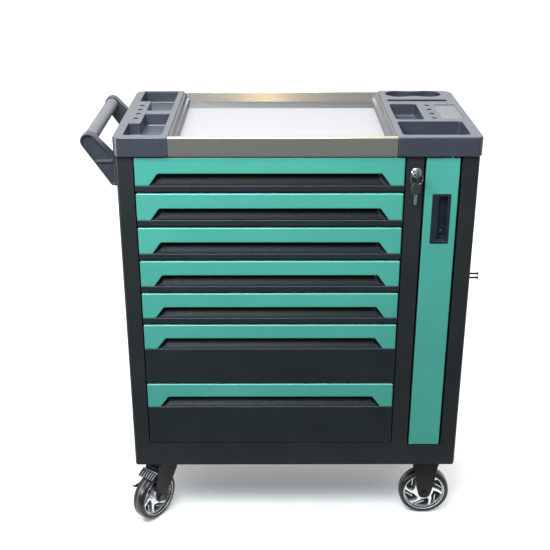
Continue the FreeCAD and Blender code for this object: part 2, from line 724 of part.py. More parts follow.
def swivel_fork():
    """Crown, two legs swept back to the axle, a finger tab, and the brake pedal's pivot pin."""
    foot = 13.4
    foot_z = WHEEL_R - 13.5
    leg = [(-26, CROWN_TOP, 3), (36, CROWN_TOP, 3), (52, 104, 22),
           (TRAIL + foot, foot_z, 13), (TRAIL - foot, foot_z, 13), (-26, 120, 16)]
    tab = [(48, 97, 0), (84, 99, 8), (95.5, 111, 0.3), (83, 104.5, 8), (48, 103, 0)]
    outer = FORK_INNER + FORK_T
    legs = [prism(leg, front, FORK_INNER, outer), prism(leg, front, -outer, -FORK_INNER)]
    legs.append(prism(tab, front, -outer, -FORK_INNER))
    crown = block(-26, 36, -outer, outer, CROWN_BOTTOM, CROWN_TOP)
    pivot = rod((PEDAL_U, -FORK_INNER, PEDAL_Z), (PEDAL_U, FORK_INNER, PEDAL_Z), PIVOT_R)
    fork = fuse(legs + [crown, pivot])
    kingpin_hole = rod((0, 0, CROWN_BOTTOM - 1), (0, 0, CROWN_TOP + 1), KINGPIN_R + RUNNING)
    axle_hole = rod((TRAIL, -30, WHEEL_R), (TRAIL, 30, WHEEL_R), AXLE_R)
    return fork.cut(Part.makeCompound([kingpin_hole, axle_hole]))


def axle():
    """Axle bolt along y through the origin, with a head and a nut outside the fork legs."""
    end = FORK_INNER + FORK_T
    return fuse([
        rod((0, -end - 4, 0), (0, end + 4, 0), AXLE_R),
        rod((0, -end - 4.5, 0), (0, -end, 0), 7),
        rod((0, end, 0), (0, end + 4.5, 0), 7),
    ])


def wheel():
    """Rim, hub and spoked web, bored to run on the axle along y."""
    half = WHEEL_W / 2 - 1
    rim = rod((0, -half, 0), (0, half, 0), RIM_R).cut(rod((0, -half - 1, 0), (0, half + 1, 0), RIM_R - 4))
    hub = rod((0, -18, 0), (0, 18, 0), 14)
    web = rod((0, -3, 0), (0, 3, 0), RIM_R - 3)
    window = [(22, -9, 4), (43, -13, 4), (43, 13, 4), (22, 9, 4)]
    windows = []
    for spoke in range(SPOKES):
        cut = prism(window, front, -5, 5)
        cut.rotate(Vector(0, 0, 0), Vector(0, 1, 0), 360 / SPOKES * spoke)
        windows.append(cut)
    return fuse([rim, hub, web]).cut(Part.makeCompound(windows)).cut(
        rod((0, -30, 0), (0, 30, 0), AXLE_R + RUNNING))


def tyre():
    ring = rod((0, -WHEEL_W / 2, 0), (0, WHEEL_W / 2, 0), WHEEL_R)
    ring = ring.makeFillet(6, [edge for edge in ring.Edges if edge.BoundBox.YLength < 0.1])
    return ring.cut(rod((0, -WHEEL_W, 0), (0, WHEEL_W, 0), RIM_R))


def brake_pedal():
    """Pedal that tips a shoe onto the tyre; drawn in the swivel castor's own directions."""
    half = 17.0
    arm = [(PEDAL_U, 142.5, 0), (47, 136.5, 2), (49, 131.5, 0), (PEDAL_U, 134, 0)]
    tread = [(46.5, 136.8, 1), (66, 126.2, 1.5), (67.5, 123.2, 1.5), (64.5, 122.8, 1.5), (46.5, 131.8, 1)]
    rib = [(50, 133, 0), (50, 136.2, 1), (65, 128, 1), (65, 125, 0)]
    barrel = rod((PEDAL_U, -half, PEDAL_Z), (PEDAL_U, half, PEDAL_Z), 5.5)
    shoe = block(50, 58, -12, 12, 125.8, 132)
    pieces = [prism(arm, front, -half, half), prism(tread, front, -PEDAL_HALF, PEDAL_HALF), barrel, shoe]
    pitch = 2 * (PEDAL_HALF - 1.5) / (PEDAL_RIBS - 0.5)
    for index in range(PEDAL_RIBS):
        start = 1.5 - PEDAL_HALF + pitch * index
        pieces.append(prism(rib, front, start, start + pitch / 2))
    pivot_hole = rod((PEDAL_U, -30, PEDAL_Z), (PEDAL_U, 30, PEDAL_Z), PIVOT_R + RUNNING)
    return fuse(pieces).cut(pivot_hole)


def fixed_fork(y):
    """Straight fork under its mounting plate; the axle runs front to back."""
    right = [(30, PLATE_UNDER, 0), (21, 141, 14), (18.5, 84, 20), (12, WHEEL_R - 13.5, 12)]
    leg = right + [(-u, v, radius) for u, v, radius in reversed(right)]
    outer = FORK_INNER + FORK_T
    legs = [prism(leg, front, FORK_INNER, outer), prism(leg, front, -outer, -FORK_INNER)]
    crown = block(-30, 30, -outer, outer, PLATE_UNDER - FORK_T, PLATE_UNDER)
    fork = fuse(legs + [crown, mounting_plate()]).cut(rod((0, -30, WHEEL_R), (0, 30, WHEEL_R), AXLE_R))
    fork.translate(Vector(FIXED_X, y, 0))
    return fork.cut(bolt_holes())


def fixed_forks():
    """Both fixed forks, each with its own axle bolt."""
    pieces = []
    for y in FIXED_Y:
        pieces.append(fixed_fork(y))
        bolt = axle()
        bolt.translate(Vector(FIXED_X, y, WHEEL_R))
        pieces.append(bolt)
    return pieces


def on_swivel_axle(shape):
    placed = shape.copy()
    placed.translate(Vector(TRAIL, 0, WHEEL_R))
    return placed


def on_fixed_axle(shape, y):
    placed = shape.copy()
    placed.translate(Vector(FIXED_X, y, WHEEL_R))
    return placed


# ---------------------------------------------------------------- build
os.makedirs("parts", exist_ok=True)
extents = FreeCAD.BoundBox()

cabinet = cabinet_shell()
save("side_panel_left", left_panel(cabinet))
save("side_panel_right", right_panel(cabinet))
save("back_panel", back_panel())
save("base_pan", base_pan())
save("top_deck", top_deck())
save("divider_panel", divider_panel())
save("runner_uprights", runner_uprights())
save("cabinet_runners", cabinet_runners())
save("side_shelves", side_shelves())
save("steel_worktop", steel_worktop())
save("left_tray", left_tray())
save("right_tray", right_tray())
save("handle_arms", handle_arms())
save("handle_grip", handle_grip())
save("mounting_bolts", mounting_bolts())
save("side_hook", side_hook())
save("lock_housing", lock_housing())
save("lock_plug", lock_plug())
save("lock_bar", lock_bar())
save("key_bunch", key_bunch())
save("door_panel", door_panel())
save("door_pull", door_pull())
save("hinge_pins", hinge_pins())
save("swivel_plates", swivel_plates())
save("fixed_forks", fixed_forks())

for drawer in range(7):
    number = str(drawer + 1)
    save("drawer_" + number + "_box", drawer_box(drawer))
    save("drawer_" + number + "_face", drawer_face(drawer))
    save("drawer_" + number + "_pull", drawer_pull(drawer))

for place, swivel_y, fixed_y in (("front", SWIVEL_Y[0], FIXED_Y[0]), ("rear", SWIVEL_Y[1], FIXED_Y[1])):
    save("swivel_fork_" + place, turned(swivel_fork(), swivel_y))
    save("swivel_axle_" + place, turned(on_swivel_axle(axle()), swivel_y))
    save("brake_pedal_" + place, turned(brake_pedal(), swivel_y))
    save("swivel_wheel_" + place, turned(on_swivel_axle(wheel()), swivel_y))
    save("swivel_tyre_" + place, turned(on_swivel_axle(tyre()), swivel_y))
    save("fixed_wheel_" + place, on_fixed_axle(wheel(), fixed_y))
    save("fixed_tyre_" + place, on_fixed_axle(tyre(), fixed_y))

print("middle of the box", round(extents.Center.x, 3), round(extents.Center.y, 3), "lowest", extents.ZMin)
print("size", round(extents.XLength, 2), round(extents.YLength, 2), round(extents.ZLength, 2))
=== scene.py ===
"""Looks of the tool cart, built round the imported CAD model.

Shapes are drawn in millimetres in a local (u, v, w) drawing; a placing function turns such a point
into a point of the cart's frame, in metres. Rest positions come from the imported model's boxes and joints.
"""

import json
import math

import bmesh
import bpy
from mathutils import Matrix, Vector
from mathutils.geometry import delaunay_2d_cdt, normal


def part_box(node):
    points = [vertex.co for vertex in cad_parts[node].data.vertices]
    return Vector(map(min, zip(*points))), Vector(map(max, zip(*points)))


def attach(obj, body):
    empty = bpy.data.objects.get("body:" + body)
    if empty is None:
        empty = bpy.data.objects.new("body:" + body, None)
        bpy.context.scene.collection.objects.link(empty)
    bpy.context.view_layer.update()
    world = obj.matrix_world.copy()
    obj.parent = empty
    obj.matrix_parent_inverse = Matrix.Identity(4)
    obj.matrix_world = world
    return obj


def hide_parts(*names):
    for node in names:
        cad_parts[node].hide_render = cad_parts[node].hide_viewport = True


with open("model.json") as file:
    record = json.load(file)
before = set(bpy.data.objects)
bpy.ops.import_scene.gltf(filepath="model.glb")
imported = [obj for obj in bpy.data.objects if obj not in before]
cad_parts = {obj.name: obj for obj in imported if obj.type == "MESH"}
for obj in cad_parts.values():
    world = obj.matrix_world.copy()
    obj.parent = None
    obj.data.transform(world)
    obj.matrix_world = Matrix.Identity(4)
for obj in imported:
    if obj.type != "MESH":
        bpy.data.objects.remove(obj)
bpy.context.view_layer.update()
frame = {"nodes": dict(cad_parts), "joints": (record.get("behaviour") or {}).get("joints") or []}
joints = {joint["name"]: joint for joint in frame["joints"]}

MM = 0.001
RIGHT = Vector((1, 0, 0))
BACK = Vector((0, 1, 0))
UP = Vector((0, 0, 1))

# ---------------------------------------------------------------- driving dimensions, millimetres
DRAWERS = range(1, 8)
SHEET = 1.5
PLATE_MIDDLE = 35.8          # height of a drawer's coloured plate over its finger scoop
PLATE_LEG = 62.8             # and at its two ends
PLATE_DROP = 2.3             # shadow gap above every plate but the first
FIRST_DROP = 1.0             # and above the first
PLATE_INSET = 1.4            # shadow gap at a plate's right-hand end
LEG_FOOT = 29.5              # from a plate's end to the foot of its leg's slope
LEG_HEAD = 49.0              # and to the slope's head
LIP_TOP = 63.8               # from a drawer's top down to the lip below its plate
EDGE_DEEP = 1.3              # rounding of a painted front's edge
EDGE_SPREAD = 1.9            # and how many times wider than deep it is
SCOOP_FRONT = SHEET + 0.1    # depth of the scoop's rim, just behind the plate
SCOOP_BACK = 23.0            # and of its back
SCOOP_WALL = 1.8
MAT_RIBS = 30
RUNNER_SPACE = 12.5          # beside a drawer's floor

TRAY_DEPTH = 440.0
TRAY_HEIGHT = 44.0
TRAY_RIM_R = 3.0
LEFT_W = 117.5               # widths of the two trays
RIGHT_W = 181.5
STEEL_GAP = 3.8              # shadow gap below the steel front
SKIRT_GAP = 2.2              # and below a tray's skirt
SKIRT_FOOT = 4.0             # how far a tray's foot stands inside its skirt
WELL_RIM_R = 1.6
WELL_FLOOR_R = 4.0
WELL_FLOOR = 15.0            # floors, above a tray's foot
LONG_WELL_FLOOR = 10.0
CUP_FLOOR = 9.0
HOLE_R = 5.8                 # tool holes

PAN_FLOOR = 13.0             # heights in the steel worktop
PAN_LEDGE = 27.0
PAN_LIP = 41.7
PAN_SIDE = 13.5              # width of a stepped side, up to the flat floor
PAN_REST = 11.0              # margin of the stepped sides in front and behind

GRIP_R = 14.5
ARM_END_R = 17.0
ARM_T = 25.0
ARM_FOOT = 62.0              # height of the face that meets the cabinet
ARM_WEB = 54.0               # web between the two pockets, above the arm's foot
ARM_RIM = 4.0
POCKET_DEPTHS = (4.5, 3.0)   # above and below the web

DOOR_LAP = 2.0               # how far the recess's frame laps over the door's skin
CAVITY_LEFT = 12.0           # from the recess's sides to its cavity
CAVITY_RIGHT = 4.2
SCREW_V = 24.0               # screw in the cavity, above the recess's foot
RING_R = 13.0
KEY_LEAN = 28.0              # degrees that the spare key is turned about the upright
PIN_OFFSET = 3.0             # drive pin, beside and below the plug's middle

WHEEL_R = 62.5
WHEEL_HALF = 16.0            # half the tyre's width
RIM_R = 51.0                 # bead of the tyre
RIM_INNER = 48.4             # barrel
FACE_W = 10.0                # spoked face, from the wheel's middle plane
SPOKES = 6
HUB_R = 25.0                 # windows start here
WINDOW_R = 47.4              # and end here
SPOKE_START = 72.0           # degrees from the horizontal to the first spoke at the hub
SPOKE_SWEEP = 24.0           # degrees that a spoke sweeps back on its way to the rim
SPOKE_PITCH = 360 / SPOKES
FORK_TOP = 35.0              # half the fixed fork's width at its crown
FORK_INNER = 19.0            # a leg's two faces, from the wheel's middle plane
FORK_OUTER = 22.0
CROWN_Z = 160.0
CROWN_T = 3.0
AXLE_R = 4.0
PEDAL_HALF = 25.0            # half the pedal's width
PEDAL_RIBS = 7
BRACKET_HALF = 16.9          # half the width of the pedal's arm, between the fork's legs

# ---------------------------------------------------------------- studio, metres and degrees
SKY = [(0.1, (0.22, 0.21, 0.2)), (0.35, (0.3, 0.31, 0.32)), (0.6, (0.7, 0.73, 0.76)),
       (0.9, (1.45, 1.45, 1.45))]
SKY_STRENGTH = 0.9
FLOOR_REACH = 24.0
TYRE_SLOPE = 38.0            # where on the front swivel tyre the small card shows, above level
TYRE_SPOT = (0.0615, 0.010)  # from the wheel's middle to that spot: outward and sideways
TYRE_LEAN = 0.1              # how much the tread leans to its side there
TYRE_CARD_FAR = 1.6
TYRE_CARD_HALF = 0.14
CAMERA_PLACE = (-0.0287, -2.189, 1.5348)
CAMERA_LENS = 63.48
CAMERA_TILT = 23.47          # downward
CAMERA_PAN = -0.15

# ---------------------------------------------------------------- places in a piece's list of materials
FIRST, SECOND, THIRD, FOURTH = range(4)


# ---------------------------------------------------------------- drawing
def plan_at(origin):
    """Drawing seen from above: u to the right, v to the back, w up."""
    return lambda u, v, w: origin + Vector((u, v, w)) * MM


def front_at(origin):
    """Drawing seen from the front: u to the right, v up, w to the back."""
    return lambda u, v, w: origin + Vector((u, w, v)) * MM


def rear_at(origin):
    """As from the front, but w to the front."""
    return lambda u, v, w: origin + Vector((u, -w, v)) * MM


def side_at(origin):
    """Drawing seen from the side: u to the back, v up, w to the right."""
    return lambda u, v, w: origin + Vector((w, u, v)) * MM


def across_at(origin, u_axis, v_axis, w_axis):
    """Drawing whose three directions are given."""
    return lambda u, v, w: origin + (u_axis * u + v_axis * v + w_axis * w) * MM


def measured(node):
    """Lower corner of a node's box, in metres, and the box's sizes in millimetres."""
    low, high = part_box(node)
    return low, (high - low) / MM


def joint_place(name):
    return Vector(joints[name]["pos_m"])


def joint_axis(name):
    return Vector(joints[name]["axis"]).normalized()


def outline(corners, grow=0.0, steps=4):
    """Points round a closed polygon of (u, v, corner radius), moved outward by grow."""
    count = len(corners)
    spots = [Vector((corner[0], corner[1])) for corner in corners]
    area = sum(spots[i - 1].cross(spots[i]) for i in range(count))
    turning = 1 if area > 0 else -1
    points = []
    for i, here in enumerate(spots):
        before = (here - spots[i - 1]).normalized()
        after = (spots[(i + 1) % count] - here).normalized()
        out_before = Vector((before.y, -before.x)) * turning
        out_after = Vector((after.y, -after.x)) * turning
        corner = here + (out_before + out_after) * (grow / (1 + out_before.dot(out_after)))
        radius = corners[i][2]
        if radius == 0:
            points.append(corner)
            continue
        bend = before.angle_signed(after) * -1
        convex = 1 if bend * turning > 0 else -1
        radius = max(radius + grow * convex, 0.02)
        reach = radius * math.tan(abs(bend) / 2)
        start = corner - before * reach
        centre = start - out_before * radius * convex
        count_here = max(2, round(steps * abs(bend) / (math.pi / 2)))
        for step in range(count_here + 1):
            turn = Matrix.Rotation(bend * step / count_here, 2)
            points.append(centre + turn @ (start - centre))
    return points


def rectangle(x0, x1, y0, y1, radius):
    return [(x0, y0, radius), (x1, y0, radius), (x1, y1, radius), (x0, y1, radius)]


def circle(u, v, radius, steps=32):
    turns = [2 * math.pi * step / steps for step in range(steps)]
    return [Vector((u + radius * math.cos(a), v + radius * math.sin(a))) for a in turns]


def quarter(radius, steps=3):
    """(inward, upward) offsets of a rounded edge, from its side to its top."""
    angles = [math.pi / 2 * step / steps for step in range(steps + 1)]
    return [(radius * (1 - math.cos(a)), radius * math.sin(a)) for a in angles]


def well_profile(top, floor, rim, fillet, draft=1.0):
    """(grow, w) pairs down into a well: rounded rim, drafted wall, rounded floor edge."""
    down = [(rim - up, top - inward) for inward, up in quarter(rim)]
    foot = [(-draft - inward, floor + fillet - up) for inward, up in quarter(fillet, 4)]
    return down + foot


def meeting(point, heading, other, other_heading):
    """Where two lines cross."""
    share = (other - point).cross(other_heading) / heading.cross(other_heading)
    return point + heading * share


def enclosed(point, flat, edges):
    """True where a line from the point to the far right crosses the edges an odd number of times."""
    crossings = 0
    for first, second in edges:
        start, end = flat[first], flat[second]
        if (start.y > point.y) != (end.y > point.y):
            share = (point.y - start.y) / (end.y - start.y)
            crossings += start.x + (end.x - start.x) * share > point.x
    return crossings % 2 == 1


def placed(name, data):
    """New object in the scene."""
    made = bpy.data.objects.new(name, data)
    bpy.context.scene.collection.objects.link(made)
    return made


def fill_ramp(ramp, stops):
    """Colour or grey stops of a ramp node, in place of its own two."""
    elements = ramp.color_ramp.elements
    while len(elements) < len(stops):
        elements.new(0.5)
    for element, (position, color) in zip(elements, stops):
        element.position = position
        element.color = (*color, 1) if isinstance(color, tuple) else (color, color, color, 1)


class Shape:
    """A mesh in the making: rings of points are skinned and filled, and make() turns it into a piece."""

    def __init__(self):
        self.mesh = bmesh.new()
        self.material = FIRST

    def ring(self, points):
        return [self.mesh.verts.new(point) for point in points]

    def loop(self, points, place, w):
        """Ring of drawn points at one w."""
        return self.ring([place(p.x, p.y, w) for p in points])

    def rounds(self, profile, place, steps):
        """Rings round w at the profile's (radius, w) pairs."""
        return [self.loop(circle(0, 0, radius, steps), place, w) for radius, w in profile]

    def face(self, corners):
        corners = list(dict.fromkeys(corners))
        if len(corners) > 2:
            face = self.mesh.faces.new(corners)
            face.material_index = self.material
            face.smooth = True

    def skin(self, rings, closed=True):
        for near, far in zip(rings, rings[1:]):
            for i in range(len(near) if closed else len(near) - 1):
                j = (i + 1) % len(near)
                self.face([near[i], near[j], far[j], far[i]])
        return rings

    def fill(self, ring, holes=()):
        """Flat face inside a ring, less the holes."""
        flatten = normal([vertex.co for vertex in ring]).rotation_difference(UP).to_matrix() * (1 / MM)
        corners = []
        edges = []
        for loop in (ring, *holes):
            first = len(corners)
            corners += loop
            edges += [(first + i, first + (i + 1) % len(loop)) for i in range(len(loop))]
        flat = [(flatten @ vertex.co).to_2d() for vertex in corners]
        places, _, triangles, sources = delaunay_2d_cdt(flat, edges, [], 0, 1e-5)[:4]
        for triangle in triangles:
            middle = sum((places[index] for index in triangle), Vector((0, 0))) / 3
            if enclosed(middle, flat, edges):
                self.face([corners[sources[index][0]] for index in triangle])

    def fill_ends(self, rings):
        self.fill(rings[0])
        self.fill(rings[-1])

    def levels(self, shape_at, profile, place):
        """Skinned rings; shape_at(grow) gives a ring's points, profile its (grow, w) pairs."""
        return self.skin([self.loop(shape_at(grow), place, w) for grow, w in profile])

    def tube(self, corners, profile, place, steps=4):
        """Skinned rings of one outline, which the profile's (grow, w) pairs widen or narrow."""
        return self.levels(lambda grow: outline(corners, grow, steps), profile, place)

    def slab(self, corners, place, w0, w1, edge=0.4, steps=2):
        """Closed plate whose edges are all rounded."""
        low, high = min(w0, w1), max(w0, w1)
        profile = [(-inward, low + edge - up) for inward, up in reversed(quarter(edge, steps))]
        profile += [(-inward, high - edge + up) for inward, up in quarter(edge, steps)]
        rings = self.tube(corners, profile, place)
        self.fill_ends(rings)

    def turned(self, profile, place, steps=48, striped=()):
        """Closed body of revolution round w, whose striped stretches take the second material."""
        rings = self.rounds(profile, place, steps)
        for index, pair in enumerate(zip(rings, rings[1:] + rings[:1])):
            self.material = SECOND if index in striped else FIRST
            self.skin(pair)

    def capped(self, profile, place, steps=32):
        """Body of revolution round w whose first and last rings are filled."""
        rings = self.skin(self.rounds(profile, place, steps))
        self.fill_ends(rings)

    def make(self, name, body, materials, replaces=(), sharp=38):
        bmesh.ops.remove_doubles(self.mesh, verts=self.mesh.verts, dist=2e-6)
        bmesh.ops.recalc_face_normals(self.mesh, faces=self.mesh.faces)
        mesh = bpy.data.meshes.new(name)
        self.mesh.to_mesh(mesh)
        self.mesh.free()
        mesh.set_sharp_from_angle(angle=math.radians(sharp))
        for material in materials:
            mesh.materials.append(material)
        piece = placed(name, mesh)
        weighted = piece.modifiers.new("weighted normals", "WEIGHTED_NORMAL")
        weighted.keep_sharp = True
        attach(piece, body)
        if replaces:
            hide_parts(*replaces)
        return piece


# ---------------------------------------------------------------- materials
MIX_SHARE, MIX_BELOW, MIX_ABOVE, MIX_RESULT = 0, 6, 7, 2      # sockets of a mix node set to colour


class Finish:
    """One procedural material: helpers add noise to colour, roughness and bump."""

    def __init__(self, name, color, roughness, metallic=0.0, specular=0.5, coat=0.0):
        self.material = bpy.data.materials.new(name)
        self.material.use_nodes = True
        self.tree = self.material.node_tree
        self.shader = self.tree.nodes["Principled BSDF"]
        values = {"Base Color": (*color, 1), "Roughness": roughness, "Metallic": metallic,
                  "Specular IOR Level": specular, "Coat Weight": coat, "Coat Roughness": 0.12}
        for socket, value in values.items():
            self.shader.inputs[socket].default_value = value
        self.coordinates = self.tree.nodes.new("ShaderNodeTexCoord")
        self.normal = None

    def node(self, kind, **inputs):
        made = self.tree.nodes.new(kind)
        for name, value in inputs.items():
            made.inputs[name.replace("_", " ")].default_value = value
        return made

    def link(self, output, target):
        self.tree.links.new(output, target)

    def noise(self, scale, detail=3.0, stretch=(1, 1, 1)):
        """Noise with features of about 1 / scale metres."""
        mapping = self.node("ShaderNodeMapping", Scale=stretch)
        texture = self.node("ShaderNodeTexNoise", Scale=scale, Detail=detail)
        self.link(self.coordinates.outputs["Object"], mapping.inputs["Vector"])
        self.link(mapping.outputs["Vector"], texture.inputs["Vector"])
        return texture.outputs["Fac"]

    def cells(self, scale):
        """Distance from the middle of each grain."""
        texture = self.node("ShaderNodeTexVoronoi", Scale=scale)
        self.link(self.coordinates.outputs["Object"], texture.inputs["Vector"])
        return texture.outputs["Distance"]

    def ramp(self, value, stops):
        ramp = self.tree.nodes.new("ShaderNodeValToRGB")
        fill_ramp(ramp, stops)
        self.link(value, ramp.inputs["Fac"])
        return ramp.outputs["Color"]

    def color(self, value, stops):
        self.link(self.ramp(value, stops), self.shader.inputs["Base Color"])
        return self

    def painted_top_highlight(self, pale):
        """Mixes in a paler colour where the surface faces up: painted highlight on tops and top edges."""
        parts = self.tree.nodes.new("ShaderNodeSeparateXYZ")
        self.link(self.coordinates.outputs["Normal"], parts.inputs["Vector"])
        share = self.node("ShaderNodeMapRange", From_Min=0.15, From_Max=0.7)
        self.link(parts.outputs["Z"], share.inputs["Value"])
        mix = self.tree.nodes.new("ShaderNodeMix")
        mix.data_type = "RGBA"
        mix.inputs[MIX_ABOVE].default_value = (*pale, 1)
        base = self.shader.inputs["Base Color"]
        self.link(share.outputs["Result"], mix.inputs[MIX_SHARE])
        self.link(base.links[0].from_socket, mix.inputs[MIX_BELOW])
        self.link(mix.outputs[MIX_RESULT], base)
        return self

    def roughness(self, value, low, high):
        self.link(self.ramp(value, shades(low, high)), self.shader.inputs["Roughness"])
        return self

    def bump(self, value, depth, strength=1.0):
        bump = self.node("ShaderNodeBump", Strength=strength, Distance=depth)
        self.link(value, bump.inputs["Height"])
        if self.normal:
            self.link(self.normal, bump.inputs["Normal"])
        self.normal = bump.outputs["Normal"]
        self.link(self.normal, self.shader.inputs["Normal"])
        return self

    def soft_edges(self, radius):
        """Rounds the shading of sharp edges."""
        bevel = self.tree.nodes.new("ShaderNodeBevel")
        bevel.samples = 4
        bevel.inputs["Radius"].default_value = radius
        self.normal = bevel.outputs["Normal"]
        self.link(self.normal, self.shader.inputs["Normal"])
        return self


def linear(red, green, blue):
    """Linear colour of an 8-bit display colour."""
    return tuple(((c / 255 + 0.055) / 1.055) ** 2.4 if c > 10 else c / 3294.6 for c in (red, green, blue))


def shades(dark, light):
    """Ramp stops that spread two shades, or two values, over a noise's usual range."""
    return [(0.3, dark), (0.7, light)]


def powder_coat(name, dark, light, specular, edge=0.0007):
    finish = Finish(name, dark, 0.45, specular=specular).soft_edges(edge)
    finish.color(finish.noise(6, 4), shades(dark, light))
    finish.roughness(finish.noise(90, 2), 0.42, 0.48)
    return finish.bump(finish.noise(900, 2), 0.00006, 0.5).material


def enamel(name, dark, light, pale):
    finish = Finish(name, dark, 0.32, specular=0.4, coat=0.25).soft_edges(0.0006)
    # pale: painted highlight on faces that look up
    finish.color(finish.noise(5, 3), shades(dark, light)).painted_top_highlight(pale)
    finish.roughness(finish.noise(60, 2), 0.3, 0.4)
    return finish.bump(finish.noise(700, 2), 0.00005, 0.4).material


def moulded(name, dark, light, specular=0.5, roughness=(0.45, 0.6), grain=1100, depth=0.00008, pale=None):
    finish = Finish(name, dark, roughness[0], specular=specular).soft_edges(0.0006)
    finish.color(finish.noise(12, 3), shades(dark, light))
    # pale, when given: painted highlight on faces that look up
    if pale:
        finish.painted_top_highlight(pale)
    finish.roughness(finish.noise(150, 2), *roughness)
    return finish.bump(finish.noise(grain, 3), depth, 0.6).material


def pebbled(name, dark, light, glint, specular=0.45):
    """Coarse leather-like grain with a few pale specks, painted glints on the grain."""
    finish = Finish(name, dark, 0.4, specular=specular)
    mottle = finish.noise(260, 4)
    finish.color(mottle, [(0.35, dark), (0.62, light), (0.72, glint)])
    finish.roughness(finish.noise(420, 2), 0.28, 0.6)
    finish.bump(finish.cells(620), 0.0003, 0.45)
    return finish.bump(mottle, 0.0002, 0.3).material


def brushed(name, color, light, roughness, stretch, metallic=1.0):
    """Steel with fine brush lines along one direction."""
    finish = Finish(name, color, roughness, metallic=metallic).soft_edges(0.0006)
    lines = finish.noise(900, 3, stretch)
    finish.color(finish.noise(1400, 3, stretch), shades(color, light))
    finish.roughness(lines, roughness - 0.015, roughness + 0.02)
    return finish.bump(lines, 0.000008, 0.3).material


def plated(name, dark, light, roughness, metallic=1.0):
    """Zinc or chrome plate with faint cloudiness."""
    finish = Finish(name, dark, roughness, metallic=metallic).soft_edges(0.0004)
    finish.color(finish.noise(45, 4), shades(dark, light))
    finish.roughness(finish.noise(120, 3), roughness * 0.8, roughness * 1.3)
    return finish.bump(finish.noise(600, 2), 0.00002, 0.3).material


def cast(name, dark, light):
    finish = Finish(name, dark, 0.3, metallic=0.85).soft_edges(0.0005)
    finish.color(finish.noise(70, 4), shades(dark, light))
    finish.roughness(finish.noise(200, 3), 0.22, 0.38)
    return finish.bump(finish.noise(800, 3), 0.00006, 0.5).material


def rubber(name, dark, light):
    finish = Finish(name, dark, 0.34, specular=0.42).soft_edges(0.0005)
    finish.color(finish.noise(55, 5), shades(dark, light))
    finish.roughness(finish.noise(110, 4), 0.24, 0.42)
    return finish.bump(finish.noise(500, 4), 0.00012, 0.6).material


cabinet_paint = powder_coat("cabinet paint", linear(30, 34, 35), linear(36, 40, 42), 0.4)
# green enamel's third colour: painted highlight on the plates' top edges and upward faces
green_paint = enamel("green enamel", linear(70, 158, 142), linear(78, 168, 152), linear(122, 200, 186))
box_paint = powder_coat("drawer box paint", linear(44, 48, 50), linear(52, 56, 58), 0.35)
# black moulding's pale colour: painted highlight on its upward faces
black_plastic = moulded("black moulding", linear(26, 33, 36), linear(32, 40, 44), 0.45, (0.32, 0.44),
                        pale=linear(84, 92, 98))
pale_plastic = moulded("pad moulding", linear(96, 98, 104), linear(108, 110, 116), 0.7, (0.3, 0.42))
# hole walls: near black, painted shade deep in the tool holes
hole_shade_plastic = moulded("hole wall", linear(18, 19, 22), linear(26, 27, 31), 0.2, (0.6, 0.8))
key_plastic = pebbled("key head", linear(40, 44, 50), linear(62, 66, 73), linear(132, 136, 142))
recess_plastic = moulded("recess moulding", linear(26, 33, 37), linear(32, 40, 46), 0.45, (0.32, 0.44))
scoop_plastic = pebbled("pebbled moulding", linear(19, 24, 27), linear(25, 31, 35), linear(38, 44, 49),
                        0.16)
# tray moulding's last colour: painted highlight on the trays' tops
tray_plastic = moulded("tray moulding", linear(50, 53, 63), linear(57, 61, 71), 0.85, (0.3, 0.4), 900,
                       0.00003, linear(74, 78, 88))
handle_plastic = moulded("handle moulding", linear(46, 50, 58), linear(54, 59, 67), 0.5, (0.34, 0.46))
grip_plastic = moulded("grip rubber", linear(100, 100, 106), linear(112, 112, 118), 0.5, (0.4, 0.55), 1500)
worktop_steel = brushed("brushed worktop", (0.63, 0.61, 0.62), (0.65, 0.63, 0.64), 0.75, (0.04, 1, 1))
# warm brownish tint: painted warm reflection, on plain steel
front_steel = brushed("front steel", (0.66, 0.59, 0.44), (0.68, 0.61, 0.46), 0.22, (0.04, 1, 1), 0.95)
lip_steel = brushed("polished lip", (0.6, 0.58, 0.56), (0.62, 0.6, 0.58), 0.16, (0.04, 1, 1))
# dark steel: painted shade and dark reflection on the pan's stepped sides and rear cove
ledge_shade_steel = brushed("brushed ledge", (0.2, 0.2, 0.205), (0.23, 0.23, 0.235), 0.5, (1, 0.04, 1), 0.9)
zinc = plated("zinc plate", (0.5, 0.51, 0.52), (0.66, 0.67, 0.68), 0.32)
chrome = plated("chrome", (0.78, 0.78, 0.79), (0.86, 0.86, 0.87), 0.1)
castor_paint = powder_coat("castor paint", linear(15, 16, 15), linear(21, 22, 21), 0.25, 0.0005)
wheel_silver = cast("cast wheel", (0.7, 0.7, 0.69), (0.84, 0.84, 0.83))
axle_steel = moulded("blackened zinc", linear(30, 31, 32), linear(42, 43, 44), 0.7, (0.28, 0.4))
# wheel_shadow: painted shade inside the barrel and on the window floors
wheel_shadow = moulded("wheel recess", linear(16, 16, 16), linear(26, 26, 25), 0.3)
tyre_rubber = rubber("tyre rubber", linear(20, 20, 22), linear(33, 33, 36))
tyre_seam = rubber("tyre seam", linear(96, 96, 100), linear(126, 126, 130))
# near black: the pedal's own black plastic, darkened further as painted shade between its ribs
pedal_plastic = moulded("pedal moulding", linear(10, 10, 12), linear(15, 15, 18), 0.15, (0.4, 0.5))
# pale ribs: painted highlight where light falls on the pedal's rib tops and front ridge
rib_highlight_plastic = moulded("rib highlight moulding", linear(128, 130, 134), linear(160, 162, 166), 0.4, (0.3, 0.45))
mat_foam = moulded("drawer mat", linear(26, 27, 28), linear(34, 35, 36), 0.2, (0.7, 0.85), 500, 0.0002)


# ---------------------------------------------------------------- CAD nodes that stay
def finish_node(node, material):
    piece = frame["nodes"][node]
    piece.data.materials.clear()
    piece.data.materials.append(material)


